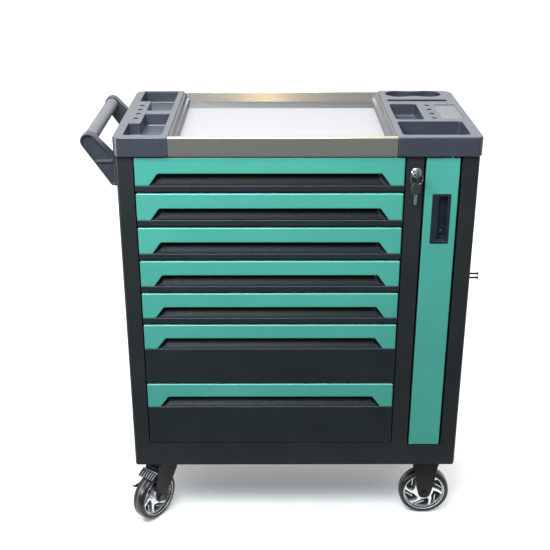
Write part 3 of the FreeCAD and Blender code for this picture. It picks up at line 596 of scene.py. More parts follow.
for panel in ("side_panel_left", "side_panel_right", "back_panel", "base_pan", "divider_panel",
              "top_deck", "side_shelves", "runner_uprights"):
    finish_node(panel, cabinet_paint)
for fitting in ("cabinet_runners", "mounting_bolts", "lock_bar", "hinge_pins"):
    finish_node(fitting, zinc)
finish_node("side_hook", castor_paint)
finish_node("swivel_plates", castor_paint)
for end in ("front", "rear"):
    finish_node("swivel_fork_" + end, castor_paint)
    finish_node("swivel_axle_" + end, axle_steel)
for number in DRAWERS:
    finish_node(f"drawer_{number}_box", box_paint)


# ---------------------------------------------------------------- drawer fronts
def plate_corners(width, top):
    """Coloured plate, seen from the front: full height at its two ends, shallow over the scoop."""
    return [(0.4, top, 1.5), (width - PLATE_INSET, top, 1.5), (width - PLATE_INSET, -PLATE_LEG, 1.5),
            (width - LEG_FOOT, -PLATE_LEG, 4), (width - LEG_HEAD, -PLATE_MIDDLE, 6),
            (LEG_HEAD, -PLATE_MIDDLE, 6), (LEG_FOOT, -PLATE_LEG, 4), (0.4, -PLATE_LEG, 1.5)]


def painted_edge():
    """(grow, w) pairs round the front edge of a painted sheet, wider than deep."""
    return [(-inward * EDGE_SPREAD, EDGE_DEEP - up) for inward, up in quarter(EDGE_DEEP, 5)]


def drawer_plate(number):
    """Coloured plate with a soft front edge, and the flange that runs back from its top."""
    node = f"drawer_{number}_face"
    low, size = measured(node)
    corner = low + UP * size.z * MM
    top = -FIRST_DROP if number == DRAWERS[0] else -PLATE_DROP
    shape = Shape()
    rings = shape.tube(plate_corners(size.x, top), [(0, SHEET)] + painted_edge(), front_at(corner))
    shape.fill_ends(rings)
    flange = rectangle(2, size.x - 2.4, SHEET - 0.3, size.y, 0.6)
    shape.slab(flange, plan_at(corner), top - SHEET, top, 0.4)
    shape.make(f"drawer_{number}_plate", f"drawer_{number}", [green_paint], [node])


def scoop_outline(width, share, grow):
    """Finger scoop's outline at a share of its depth: wide and low in front, narrow and high behind."""
    ease = math.sin(share * math.pi / 2)
    side = LEG_FOOT + 24 * ease
    shoulder = LEG_HEAD + 7 * ease
    bottom = -LIP_TOP + 23 * share ** 1.35
    top = -PLATE_MIDDLE + 2 + 13 * share
    corners = [(side, bottom, 2 + 5 * share), (width - side, bottom, 2 + 5 * share),
               (width - shoulder, top, 4), (shoulder, top, 4)]
    return outline(corners, grow, 3)


def scoop_skin(shape, place, width, grow, start, end):
    """Scoop's surface from one depth to another, moved outward by grow."""
    steps = 8
    rings = []
    for step in range(steps + 1):
        w = start + (end - start) * step / steps
        share = min(max((w - SCOOP_FRONT) / (SCOOP_BACK - SCOOP_FRONT), 0), 1)
        rings.append(shape.loop(scoop_outline(width, share, grow), place, w))
    shape.fill(rings[-1])
    return shape.skin(rings)


def drawer_moulding(number):
    """Backing behind the plate, the pebbled scoop in it, and the lip or panel below it."""
    node = f"drawer_{number}_pull"
    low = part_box(node)[0]
    face_low, face = measured(f"drawer_{number}_face")
    origin = face_low + UP * face.z * MM
    width = face.x
    bottom = (low.z - origin.z) / MM
    place = front_at(origin)
    back_w = SCOOP_FRONT + 1.9
    shape = Shape()
    backing = outline(rectangle(0.3, width - 0.3, bottom, -3, 0))
    front_edge = shape.loop(backing, place, SCOOP_FRONT)
    back_edge = shape.loop(backing, place, back_w)
    shape.skin([front_edge, back_edge])
    shape.material = SECOND
    hollow = scoop_skin(shape, place, width, 0, SCOOP_FRONT, SCOOP_BACK)
    shape.material = FIRST
    shell = scoop_skin(shape, place, width, SCOOP_WALL, back_w, SCOOP_BACK + SCOOP_WALL)
    shape.fill(front_edge, [hollow[0]])
    shape.fill(back_edge, [shell[0]])
    top = -LIP_TOP + 0.7
    lip = [(0, top, 0.6), (0, bottom, 0.6), (SCOOP_FRONT, bottom, 0), (SCOOP_FRONT, top, 0)]
    shape.slab(lip, side_at(origin), 0, width, 0.4)
    shape.make(f"drawer_{number}_moulding", f"drawer_{number}", [black_plastic, scoop_plastic],
               [node])


def drawer_mat(number):
    """Ribbed mat on the drawer's floor."""
    low, size = measured(f"drawer_{number}_box")
    width = size.x - 2 * RUNNER_SPACE - 4
    depth = size.y - 6
    place = plan_at(low + Vector((RUNNER_SPACE + 2, 3, 1.3)) * MM)
    shape = Shape()
    shape.slab(rectangle(0, width, 0, depth, 4), place, 0, 1.6, 0.5)
    pitch = (depth - 16) / MAT_RIBS
    for rib in range(MAT_RIBS):
        start = 8 + rib * pitch
        shape.slab(rectangle(6, width - 6, start, start + pitch * 0.45, 1.5), place, 1.4, 2.4, 0.4)
    shape.make(f"drawer_{number}_mat", f"drawer_{number}", [mat_foam])


for number in DRAWERS:
    drawer_plate(number)
    drawer_moulding(number)
    drawer_mat(number)


# ---------------------------------------------------------------- trays
def notched(x0, x1, y0, y1, notch_x, notch_y, notch_high):
    """Rectangle with its high-y or low-y left corner taken out."""
    if notch_high:
        return [(x0, y0, 7), (x1, y0, 7), (x1, y1, 7), (notch_x, y1, 4), (notch_x, notch_y, 4),
                (x0, notch_y, 4)]
    return [(notch_x, y0, 4), (x1, y0, 7), (x1, y1, 7), (x0, y1, 7), (x0, notch_y, 4),
            (notch_x, notch_y, 4)]


def twin_cups(grow):
    """Two round cups joined by a waist with soft shoulders."""
    cup_r = 31.5
    waist = 24.0
    half = 37.0
    middle = Vector((83.5, 404.0))
    bend_r = (half ** 2 + waist ** 2 - cup_r ** 2) / (2 * (cup_r - waist))
    reach = waist + bend_r
    lean = math.atan2(reach, half)
    points = []
    for side in (-1, 1):
        centre = middle + Vector((side * half, 0))
        first = lean if side < 0 else lean - math.pi
        sweep = 2 * math.pi - 2 * lean
        for step in range(21):
            a = first + sweep * step / 20
            points.append(centre + Vector((math.cos(a), math.sin(a))) * (cup_r + grow))
        low = middle + Vector((0, side * reach))
        spread = math.pi / 2 - lean
        for step in range(1, 6):
            a = side * -math.pi / 2 - side * spread + side * 2 * spread * step / 6
            points.append(low + Vector((-side * math.cos(a), math.sin(a))) * (bend_r - grow))
    return points


def tool_hole(shape, place, x, y):
    """Round hole with a soft rim and a wall painted dark as shade; returns its upper ring."""
    profile = [(HOLE_R + 0.8, TRAY_HEIGHT), (HOLE_R + 0.2, TRAY_HEIGHT - 0.3), (HOLE_R, TRAY_HEIGHT - 1.2),
               (HOLE_R - 0.6, 3)]
    rings = [shape.loop(circle(x, y, radius, 24), place, w) for radius, w in profile]
    shape.skin(rings[:3])
    # wall and bottom take the dark moulding: painted shade
    shape.material = THIRD
    shape.skin(rings[2:])
    shape.fill(rings[-1])
    shape.material = FIRST
    return rings[0]


def tray_pad(shape, place, corners):
    """Shallow rectangle of a paler plastic; returns its upper ring."""
    profile = [(0.6, 0), (0.1, -0.4), (0, -1.2), (-0.5, -1.5)]
    rings = shape.tube(corners, [(grow, TRAY_HEIGHT + w) for grow, w in profile], place)
    shape.material = SECOND
    shape.fill(rings[-1])
    shape.material = FIRST
    return rings[0]


def moulded_tray(name, node, footprint, wells, slots, pad=None, cups=False):
    """Tray with a skirt that stands clear of the cabinet; everything in its top is a real hollow."""
    place = plan_at(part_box(node)[0])
    shape = Shape()
    profile = [(-SKIRT_FOOT, 0), (-SKIRT_FOOT, SKIRT_GAP), (-0.5, SKIRT_GAP), (0, SKIRT_GAP + 0.5)]
    profile += [(-inward, TRAY_HEIGHT - TRAY_RIM_R + up) for inward, up in quarter(TRAY_RIM_R, 4)]
    sides = shape.tube(footprint, profile, place, 6)
    shape.fill(sides[0])
    holes = []
    for corners, floor in wells:
        rings = shape.tube(corners, well_profile(TRAY_HEIGHT, floor, WELL_RIM_R, WELL_FLOOR_R), place, 5)
        shape.fill(rings[-1])
        holes.append(rings[0])
    if cups:
        rings = shape.levels(twin_cups, well_profile(TRAY_HEIGHT, CUP_FLOOR, 1.2, WELL_FLOOR_R), place)
        shape.fill(rings[-1])
        holes.append(rings[0])
    if pad:
        holes.append(tray_pad(shape, place, pad))
    holes += [tool_hole(shape, place, x, y) for x, y in slots]
    shape.fill(sides[-1], holes)
    shape.make(name, "cabinet", [tray_plastic, pale_plastic, hole_shade_plastic], [node])


left_footprint = [(0, 0, 14), (LEFT_W, 0, 4.5), (LEFT_W, TRAY_DEPTH, 4.5), (0, TRAY_DEPTH, 30)]
left_wells = [(notched(20.5, 103.5, 21, 205, 47, 120, True), WELL_FLOOR),
              (notched(20.5, 103.5, 234, 429, 47, 326, False), WELL_FLOOR)]
moulded_tray("left_tray_moulding", "left_tray", left_footprint, left_wells,
             [(31, y) for y in (163, 204, 244, 284)])

right_footprint = [(0, 0, 4.5), (RIGHT_W, 0, 14), (RIGHT_W, TRAY_DEPTH, 30), (0, TRAY_DEPTH, 4.5)]
right_wells = [(rectangle(12, 157, 324, 345, 9), WELL_FLOOR),
               (rectangle(13, 76, 151, 297, 8), WELL_FLOOR),
               (rectangle(13, 157, 21, 134, 10), LONG_WELL_FLOOR)]
moulded_tray("right_tray_moulding", "right_tray", right_footprint, right_wells,
             [(100.5, y) for y in (164, 204, 244, 284)], rectangle(118, 166, 158, 290, 3), cups=True)


# ---------------------------------------------------------------- steel worktop
def worktop():
    """Pan with a rolled front edge, stepped sides, a rear lip that leans back, and a flat floor."""
    low, size = measured("steel_worktop")
    width = size.x
    depth = size.y
    along = side_at(low)
    shape = Shape()
    roll = [(4, 0, 0), (12, 0, 0.8), (12, TRAY_HEIGHT, 3.0), (0, TRAY_HEIGHT, 3.4), (0, STEEL_GAP, 0.6),
            (4, STEEL_GAP, 0)]
    shape.material = FOURTH
    shape.slab(roll, along, 0, width, 0.3)
    rear = [(depth - 21, PAN_FLOOR - 1.5, 0), (depth - 21, PAN_FLOOR + 0.2, 0),
            (depth - 17, PAN_FLOOR + 0.4, 1.5), (depth - 15, PAN_FLOOR + 3, 3), (depth - 8.5, PAN_LIP, 1.6),
            (depth, PAN_LIP, 2), (depth, 0, 1), (depth - 14, 0, 0)]
    shape.material = THIRD
    shape.slab(rear, along, 0, width, 0.3)
    shape.material = FIRST
    flat = rectangle(PAN_SIDE, width - PAN_SIDE, PAN_REST, depth - 16, 0)
    shape.slab(flat, plan_at(low), PAN_FLOOR - SHEET, PAN_FLOOR, 0.2)
    # the cove and both stepped sides take the dark steel: painted shade
    shape.material = SECOND
    cove = [(depth - 58, PAN_FLOOR - 0.5, 0), (depth - 58, PAN_FLOOR + 0.3, 0),
            (depth - 24, PAN_FLOOR + 5.0, 8), (depth - 16, PAN_FLOOR + 6.5, 0),
            (depth - 16, PAN_FLOOR - 0.5, 0)]
    shape.slab(cove, along, PAN_SIDE, width - PAN_SIDE, 0.2)
    left = [(0, 0, 0.5), (0, PAN_LIP, 1.2), (5.5, PAN_LIP - 0.8, 1.6), (7.5, PAN_LEDGE + 0.8, 1.0),
            (12.5, PAN_LEDGE - 0.6, 1.6), (14.5, PAN_FLOOR + 0.2, 0.6), (14.5, PAN_FLOOR - 1, 0)]
    right = [(width - u, v, radius) for u, v, radius in left]
    for side in (left, right):
        shape.slab(side, front_at(low), PAN_REST, depth - PAN_REST, 0.2)
    shape.make("worktop_pan", "cabinet", [worktop_steel, ledge_shade_steel, lip_steel, front_steel],
               ["steel_worktop"])


worktop()


# ---------------------------------------------------------------- push handle
def touching_line(point, centre, radius, side):
    """Heading of the line from a point that touches a circle on one side of it."""
    toward = centre - point
    lean = math.asin(radius / toward.length) * side
    return Matrix.Rotation(lean, 2) @ toward.normalized()


def tangent_corner(centre, radius, first, last):
    """Corner whose rounding is the arc that the lines from two points touch."""
    heading_first = touching_line(first, centre, radius, -1)
    heading_last = touching_line(last, centre, radius, 1)
    return meeting(first, heading_first, last, heading_last)


def arm_outline(low, high, centre):
    """Side of an arm: straight where it meets the cabinet, round at the grip."""
    top = Vector((0, high))
    heel = Vector((-12, low + 1))
    tip = tangent_corner(centre, ARM_END_R, top, heel)
    return [(0, low, 0), (0, high, 0), (tip.x, tip.y, ARM_END_R), (heel.x, heel.y, 6)]


def inside(corners, inset):
    """Corners of a polygon moved inward by a margin, without their radii."""
    return outline([(u, v, 0) for u, v, _ in corners], -inset)


def arm_pockets(arm, low):
    """Deep recess above the web and shallow one below it."""
    foot, head, tip, heel = inside(arm, ARM_RIM)
    below = tip - heel
    above = tip - head
    level = Vector((1, 0))
    upright = Vector((0, 1))
    web = low + ARM_WEB
    front_side = Vector((-8, 0))
    upper_left = meeting(heel, below, Vector((0, web + 2)), level)
    lower_left = meeting(heel, below, Vector((0, web - 2)), level)
    upper_right = meeting(head, above, front_side, upright)
    upper = [(-8, web + 2, 2), (-8, upper_right.y, 2), (tip.x, tip.y, ARM_END_R - ARM_RIM),
             (upper_left.x, web + 2, 2)]
    lower = [(-4, foot.y, 2), (-4, web - 2, 1), (lower_left.x, web - 2, 1), (heel.x, heel.y, 4)]
    return upper, lower


def handle_arm(name, place, arm, pockets, replaced):
    """One arm: a thick plate with two pockets in its outer face."""
    shape = Shape()
    profile = [(-inward, ARM_T - 1 + up) for inward, up in reversed(quarter(1.0))]
    profile += [(-inward, 1.5 - up) for inward, up in quarter(1.5)]
    rings = shape.tube(arm, profile, place, 8)
    shape.fill(rings[0])
    holes = []
    for corners, depth in zip(pockets, POCKET_DEPTHS):
        profile = [(grow, -w) for grow, w in well_profile(0, -depth, 0.9, 1.5, 0.3)]
        pocket = shape.tube(corners, profile, place, 8)
        shape.fill(pocket[-1])
        holes.append(pocket[0])
    shape.fill(rings[-1], holes)
    shape.make(name, "cabinet", [handle_plastic], replaced)


def handle():
    """Two moulded arms with a recessed outer face, and the grip between them."""
    low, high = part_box("handle_arms")
    grip_low, grip_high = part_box("handle_grip")
    grip = (grip_low + grip_high) / 2
    centre = Vector(((grip.x - high.x) / MM, grip.z / MM))
    base = low.z / MM
    arm = arm_outline(base, base + ARM_FOOT, centre)
    pockets = arm_pockets(arm, base)
    front = front_at(Vector((high.x, low.y, 0)))
    rear = rear_at(Vector((high.x, high.y, 0)))
    handle_arm("handle_arm_front", front, arm, pockets, ["handle_arms"])
    handle_arm("handle_arm_rear", rear, arm, pockets, [])
    shape = Shape()
    along = front_at(Vector((grip.x, grip_low.y, grip.z)))
    length = (grip_high.y - grip_low.y) / MM
    half = [(GRIP_R - 2.2, 0), (GRIP_R - 2.2, 1.8), (GRIP_R - 0.6, 2.4), (GRIP_R, 3.6), (GRIP_R, 30)]
    shape.capped(half + [(radius, length - w) for radius, w in reversed(half)], along, 40)
    shape.make("handle_tube", "cabinet", [grip_plastic], ["handle_grip"])


handle()


# ---------------------------------------------------------------- side door
def door():
    """Door skin with a soft front edge and a window for the recess."""
    low, size = measured("door_panel")
    pull_low, pull = measured("door_pull")
    place = front_at(low)
    left = (pull_low.x - low.x) / MM
    foot = (pull_low.z - low.z) / MM
    window = rectangle(left + DOOR_LAP, left + pull.x - DOOR_LAP,
                       foot + DOOR_LAP, foot + pull.z - DOOR_LAP, 0.5)
    corners = rectangle(2.6, size.x - 2.0, 0, size.z - 1.4, 1.2)
    shape = Shape()
    rings = shape.tube(corners, [(0, size.y)] + painted_edge(), place)
    inner = shape.tube(corners, [(-SHEET, size.y), (-SHEET, SHEET)], place)
    shape.skin([rings[0], inner[0]])
    cut = shape.tube(window, [(0, 0), (0, SHEET)], place)
    shape.fill(rings[-1], [cut[0]])
    shape.fill(inner[-1], [cut[1]])
    shape.make("door_skin", "door", [green_paint], ["door_panel"])


def door_recess():
    """Moulded recess: a flat frame, wider on the left, round a deep cavity with a ledge and a screw."""
    low, size = measured("door_pull")
    place = front_at(low)
    shape = Shape()
    border = rectangle(-2.6, size.x + 2.4, -1.0, size.z + 1.0, 2)
    profile = [(-2, size.y), (-2, 1.3), (0, 1.2)] + [(-inward, 0.7 - up) for inward, up in quarter(0.7)]
    rings = shape.tube(border, profile, place)
    shape.fill(rings[0])
    cavity = rectangle(CAVITY_LEFT, size.x - CAVITY_RIGHT, 9, size.z - 5, 2)
    pocket = [(grow, -w) for grow, w in well_profile(0, -(size.y - 2.5), 0.8, 1.5, 0.4)]
    holes = shape.tube(cavity, pocket, place)
    shape.fill(holes[-1])
    shape.fill(rings[-1], [holes[0]])
    shape.material = SECOND
    shape.slab(rectangle(6, size.x - 1.5, 3.4, 5.4, 0.8), place, -1.0, 2.5, 0.4)
    shape.make("door_recess", "door", [recess_plastic, black_plastic], ["door_pull"])
    screw = Shape()
    spot = place((CAVITY_LEFT + size.x - CAVITY_RIGHT) / 2 + 1, SCREW_V, size.y - 2.6)
    screw.capped([(1.7, 0), (1.7, 0.3), (1.4, 0.7), (0.8, 0.9)], rear_at(spot), 20)
    screw.make("door_recess_screw", "door", [zinc])


door()
door_recess()


# ---------------------------------------------------------------- lock and keys
lock_low, lock_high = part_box("lock_housing")
lock_middle = (lock_low + lock_high) / 2


def lock():
    """Bright bezel with its barrel."""
    place = front_at(Vector((lock_middle.x, lock_low.y, lock_middle.z)))
    shape = Shape()
    bezel = [(7.1, 25), (10, 25), (10, 3.6), (11.5, 3.4), (11.5, 2.2), (11.1, 1.0), (10.2, 0.25), (9.2, 0),
             (8.2, 0.3), (7.5, 1.0), (7.1, 1.9)]
    shape.turned(bezel, place, 56)
    shape.make("lock_bezel", "cabinet", [chrome], ["lock_housing"])


def key_head(shape, place, middle, width, height, hole_v, thickness):
    """Flat key head with rounded shoulders, a raised rim and a hole."""
    corners = rectangle(-width / 2, width / 2, middle - height / 2, middle + height / 2, 8)
    hole = circle(0, hole_v, 3.6, 20)
    half = thickness / 2
    profile = [(0, half - 0.8)] + [(-inward, half - 0.8 + up) for inward, up in quarter(0.8)]
    for sign in (1, -1):
        rings = shape.tube(corners, [(grow, w * sign) for grow, w in profile], place, 5)
        edge = shape.loop(hole, place, half * sign)
        shape.fill(rings[-1], [edge])
        shape.skin([edge, shape.loop(hole, place, 0)])
        shape.skin([shape.loop(outline(corners, 0, 5), place, 0), rings[0]])


def plug():
    """Plug with its cam, its drive pin and the inserted key."""
    place = front_at(Vector((lock_middle.x, lock_low.y - MM, lock_middle.z)))
    shape = Shape()
    shape.capped([(6.4, 0), (6.9, 0.5), (7, 1), (7, 26.8), (9, 26.8), (9, 29.5)], place, 40)
    pin = front_at(place(PIN_OFFSET, -PIN_OFFSET, 29.4))
    shape.capped([(1.5, 0), (1.5, 7)], pin, 16)
    shape.slab(rectangle(-1.1, 1.1, -2.0, 2.0, 0.4), place, 0.5, -12, 0.3)
    shape.material = SECOND
    lying = across_at(place(0, 0, -10.5), UP, -BACK, RIGHT)
    key_head(shape, lying, 9.5, 24, 19, 13, 2.4)
    shape.make("lock_plug_key", "plug", [chrome, key_plastic], ["lock_plug"])


def split_ring(shape, place):
    """Wire wound twice round, a little apart from turn to turn."""
    turns = 2
    steps = 64 * turns
    rings = []
    for step in range(steps + 1):
        a = 2 * math.pi * turns * step / steps
        lift = 0.75 * (step / steps - 0.5)
        wire = circle(RING_R, 0, 0.45, 8)
        rings.append(shape.ring([place(p.x * math.cos(a), p.x * math.sin(a), lift + p.y) for p in wire]))
    shape.skin(rings)
    shape.fill_ends(rings)


def keys():
    """Split ring with the spare key hanging from it."""
    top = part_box("key_bunch")[1].z
    ring_y = joint_place("key_swing").y
    place = front_at(Vector((lock_middle.x, ring_y, top - (RING_R + 0.8) * MM)))
    shape = Shape()
    split_ring(shape, place)
    lean = Matrix.Rotation(math.radians(KEY_LEAN), 3, UP)
    flat = across_at(place(0, -RING_R, 0), lean @ RIGHT, UP, lean @ BACK)
    blade = [(-4, -24, 0.5), (4, -24, 0.5), (4, -30, 0.5), (3.2, -32, 0.3), (4, -34, 0.3), (3.0, -36, 0.3),
             (3.8, -38.5, 0.3), (3, -41, 0.3), (3.6, -43, 0.3), (0.5, -47.3, 1.2), (-4, -44, 1)]
    shape.slab(blade, flat, -0.9, 0.9, 0.25)
    shape.slab(rectangle(-0.8, 0.2, -43, -24, 0.3), flat, -1.05, 1.05, 0.2)
    shape.material = SECOND
    key_head(shape, flat, -9, 26, 27, 0, 2.2)
    shape.make("spare_key_ring", "keys", [chrome, key_plastic], ["key_bunch"])


lock()
plug()
keys()


# ---------------------------------------------------------------- castors
def tyre_profile():
    """(radius, w) round one half of the tyre, from the bead over the side wall to the tread's middle."""
    return [(RIM_R, 15.0), (RIM_R + 0.6, 15.7), (54.2, WHEEL_HALF), (54.8, 15.5), (55.4, 15.5),
            (56.0, WHEEL_HALF), (57.5, 15.8), (59.5, 14.6), (61.0, 12.6), (61.7, 10.0), (61.95, 6.0),
            (62.05, 1.5), (WHEEL_R, 1.0), (WHEEL_R, 0.0)]


def polar(radius, degrees):
    turn = math.radians(degrees)
    return Vector((radius * math.cos(turn), radius * math.sin(turn)))


def spoke_edge(base, sign, radius):
    """Angle, in degrees, of one edge of a spoke: swept back, broad at the hub, flared at the rim."""
    share = (radius - HUB_R) / (WINDOW_R - HUB_R)
    half = 5.4 - 6.0 * share + 4.0 * share ** 2
    return base - SPOKE_SWEEP * share + sign * math.degrees(half / radius)


def window_side(base, sign):
    """Corners along a spoke's edge, from the hub to the rim."""
    corners = []
    for share in (0, 0.25, 0.5, 0.75, 1):
        radius = HUB_R + (WINDOW_R - HUB_R) * share
        corners.append((*polar(radius, spoke_edge(base, sign, radius)), 2.2 if share in (0, 1) else 0))
    return corners


def wheel_window(index):
    """Opening between one spoke and the next."""
    near = SPOKE_START + index * SPOKE_PITCH
    first = spoke_edge(near, 1, WINDOW_R)
    last = spoke_edge(near + SPOKE_PITCH, -1, WINDOW_R)
    arc = [(*polar(WINDOW_R, first + (last - first) * share), 0) for share in (0.25, 0.5, 0.75)]
    return window_side(near, 1) + arc + window_side(near + SPOKE_PITCH, -1)[::-1]


def spoke_fin(wheel, place, sign, index):
    """Thin bright rib deep inside a window, leaning like the spokes."""
    rim = SPOKE_START - SPOKE_SWEEP + index * SPOKE_PITCH
    inner = polar(HUB_R + 8, rim + SPOKE_PITCH - 14)
    outer = polar(WINDOW_R - 1.5, rim + 20)
    along = (outer - inner).normalized()
    side = Vector((-along.y, along.x)) * 1.1
    bar = [(*corner, 0.4) for corner in (inner - side, outer - side, outer + side, inner + side)]
    wheel.slab(bar, place, sign * 2.5, sign * 6.5, 0.3)


def wheel_face(wheel, place, sign):
    """Spoked face on one side, its windows, hub boss and the recess up to the rim."""
    dish = [(RIM_INNER, sign * 2.0), (RIM_INNER, sign * FACE_W)]
    outer = wheel.skin(wheel.rounds(dish, place, 96))[1]
    windows = []
    profile = [(0.7, sign * FACE_W), (0.2, sign * (FACE_W - 0.25)), (0, sign * (FACE_W - 0.8)),
               (-0.8, sign * 2.4)]
    for index in range(SPOKES):
        rings = wheel.tube(wheel_window(index), profile, place)
        windows.append(rings[0])
        # window floors take the dark recess colour: painted shade
        wheel.material = SECOND
        wheel.fill(rings[-1])
        wheel.material = FIRST
        spoke_fin(wheel, place, sign, index)
    boss = [(15.5, FACE_W), (15.2, FACE_W + 1.2), (14.4, FACE_W + 1.7), (13, FACE_W + 1.9), (12.6, 17.4),
            (12, 17.9)]
    rings = wheel.skin(wheel.rounds([(radius, sign * w) for radius, w in boss], place, 48))
    wheel.fill(rings[-1])
    wheel.fill(outer, [rings[0], *windows])


def wheel_and_tyre(end, kind):
    """Tyre with a pale seam round its tread; wheel with a barrel painted dark as shade and two spoked
    faces.
    """
    joint = f"{kind}_wheel_spin_{end}"
    body = joints[joint]["child"]
    axis = joint_axis(joint)
    place = across_at(joint_place(joint), axis.cross(UP).normalized(), UP, axis * -1)
    tyre = Shape()
    half = tyre_profile()
    seam = range(len(half) - 3, len(half) + 1)
    tyre.turned(half + [(radius, -w) for radius, w in reversed(half[:-1])], place, 96, seam)
    tyre.make(f"{kind}_tread_{end}", body, [tyre_rubber, tyre_seam], [f"{kind}_tyre_{end}"])
    wheel = Shape()
    lip = [(RIM_R, 15.0), (50.7, 15.4), (50.1, 15.5), (49.5, 15.3), (49.1, 14.6), (48.7, 12.0),
           (RIM_INNER, 9.8), (RIM_INNER, 3)]
    # the barrel between the lips takes the dark recess colour: painted shade
    barrel = range(4, 2 * len(lip) - 5)
    wheel.turned(lip + [(radius, -w) for radius, w in reversed(lip)] + [(RIM_R, 0)], place, 96, barrel)
    for sign in (1, -1):
        wheel_face(wheel, place, sign)
    wheel.make(f"{kind}_alloy_{end}", body, [wheel_silver, wheel_shadow],
               [f"{kind}_wheel_{end}"])


def fixed_castor(end):
    """Fixed castor's fork: two legs that flare up to a crown and mounting plate, with its axle bolt."""
    centre = joint_place(f"fixed_wheel_spin_{end}")
    under = Vector((centre.x, centre.y, 0))
    right = [(FORK_TOP, CROWN_Z + CROWN_T, 0), (27.5, 134, 24), (24, 104, 30), (20.5, 82, 16),
             (12, 49.5, 11.5)]
    leg = right + [(-u, v, radius) for u, v, radius in reversed(right)]
    bolt_head = [(3.4, 26.6), (4.6, 26.4), (5.2, 25.6), (7.0, 25.4), (7.0, FORK_OUTER)]
    axle = front_at(centre)
    shape = Shape()
    for sign in (-1, 1):
        shape.slab(leg, front_at(under), sign * FORK_INNER, sign * FORK_OUTER, 0.6)
        shape.capped([(radius, sign * w) for radius, w in bolt_head], axle, 32)
    shape.capped([(AXLE_R, -FORK_OUTER), (AXLE_R, FORK_OUTER)], axle, 24)
    crown = plan_at(under + UP * CROWN_Z * MM)
    shape.slab(rectangle(-FORK_TOP, FORK_TOP, -FORK_OUTER, FORK_OUTER, 2), crown, 0, CROWN_T, 0.5)
    shape.slab(rectangle(-47.5, 47.5, -32, 32, 6), crown, CROWN_T, 2 * CROWN_T, 0.5)
    replaced = ["fixed_forks"] if end == "front" else []
    shape.make("fixed_fork_" + end, "cabinet", [castor_paint], replaced)


def trail_of(end):
    """Level direction from a swivel castor's kingpin to its wheel."""
    lag = joint_place(f"swivel_wheel_spin_{end}") - joint_place(f"swivel_{end}")
    return Vector((lag.x, lag.y, 0)).normalized()


def pedal(end):
    """Brake pedal: a sloping tread with grip ribs, its arm and barrel, and its shoe."""
    axis = joint_axis(f"swivel_wheel_spin_{end}")
    kingpin = joint_place(f"swivel_{end}")
    trail = trail_of(end)
    place = across_at(Vector((kingpin.x, kingpin.y, 0)), trail, UP, axis)
    shape = Shape()
    arm = [(34, 142.5, 0), (47, 136.5, 10), (50, 131.5, 0), (34, 134, 0)]
    shape.material = THIRD
    shape.slab(arm, place, -BRACKET_HALF, BRACKET_HALF, 0.5)
    shape.material = FIRST
    tread = [(46.5, 136.0, 1.2), (58, 130.6, 12), (66, 125.4, 1.5), (67.4, 123.2, 1.4), (64.5, 122.9, 1.4),
             (46.5, 132, 1.2)]
    shape.slab(tread, place, -PEDAL_HALF + 0.1, PEDAL_HALF - 0.1, 1.0, 3)
    barrel = [(4.9, -BRACKET_HALF), (5.4, 0.6 - BRACKET_HALF), (5.4, BRACKET_HALF - 0.6),
              (4.9, BRACKET_HALF)]
    shape.capped(barrel, across_at(place(34, 138, 0), trail, UP, axis), 24)
    shape.slab([(50, 126, 1.2), (58, 126, 1.2), (58, 131, 0), (50, 132, 0)], place, -12, 12, 0.6)
    rib = [(48.9, 133, 0), (49.2, 136.4, 0.8), (58, 132.8, 12), (66, 126.9, 0.8), (66, 124, 0)]
    # ridge and ribs take the pale moulding: painted highlight on their tops
    shape.material = SECOND
    ridge = [(46.1, 135, 0), (46.1, 137.4, 0.7), (47.7, 137.4, 0.7), (48.3, 134.5, 0)]
    shape.slab(ridge, place, -PEDAL_HALF + 0.3, PEDAL_HALF - 0.3, 0.5)
    pitch = 2 * (PEDAL_HALF - 1.5) / (PEDAL_RIBS - 0.5)
    for index in range(PEDAL_RIBS):
        start = 1.5 - PEDAL_HALF + pitch * index
        shape.slab(rib, place, start, start + pitch * 0.32, 0.4)
    shape.make("brake_lever_" + end, joints[f"brake_pedal_{end}"]["child"],
               [pedal_plastic, rib_highlight_plastic, castor_paint], ["brake_pedal_" + end])


for end in ("front", "rear"):
    wheel_and_tyre(end, "swivel")
    wheel_and_tyre(end, "fixed")
    fixed_castor(end)
    pedal(end)


# ---------------------------------------------------------------- camera, light, floor
def sky():
    """World light that grows from low in front of the cart to high behind it."""
    world = bpy.data.worlds.new("studio")
    bpy.context.scene.world = world
    world.use_nodes = True
    tree = world.node_tree
    coordinates = tree.nodes.new("ShaderNodeTexCoord")
    facing = tree.nodes.new("ShaderNodeVectorMath")
    facing.operation = "DOT_PRODUCT"
    facing.inputs[1].default_value = (0.0, 0.6, 0.8)
    share = tree.nodes.new("ShaderNodeMapRange")
    share.inputs["From Min"].default_value = -1
    ramp = tree.nodes.new("ShaderNodeValToRGB")
    tree.links.new(coordinates.outputs["Generated"], facing.inputs[0])
    tree.links.new(facing.outputs["Value"], share.inputs["Value"])
    tree.links.new(share.outputs["Result"], ramp.inputs["Fac"])
    tree.links.new(ramp.outputs["Color"], tree.nodes["Background"].inputs["Color"])
    fill_ramp(ramp, SKY)
    tree.nodes["Background"].inputs["Strength"].default_value = SKY_STRENGTH


def lamp(name, place, target, size, power, color):
    """Rectangular area light that points at a target."""
    light = bpy.data.lights.new(name, "AREA")
    light.shape = "RECTANGLE"
    light.size, light.size_y = size
    light.energy = power
    light.color = color
    holder = placed(name, light)
    holder.location = place
    holder.rotation_euler = (Vector(target) - Vector(place)).to_track_quat("-Z", "Y").to_euler()
    return holder


def sheet(name, corners, material):
    """One four-cornered face that belongs to the studio."""
    mesh = bpy.data.meshes.new(name)
    mesh.from_pydata(corners, [], [(0, 1, 2, 3)])
    mesh.materials.append(material)
    panel = placed(name, mesh)
    return panel


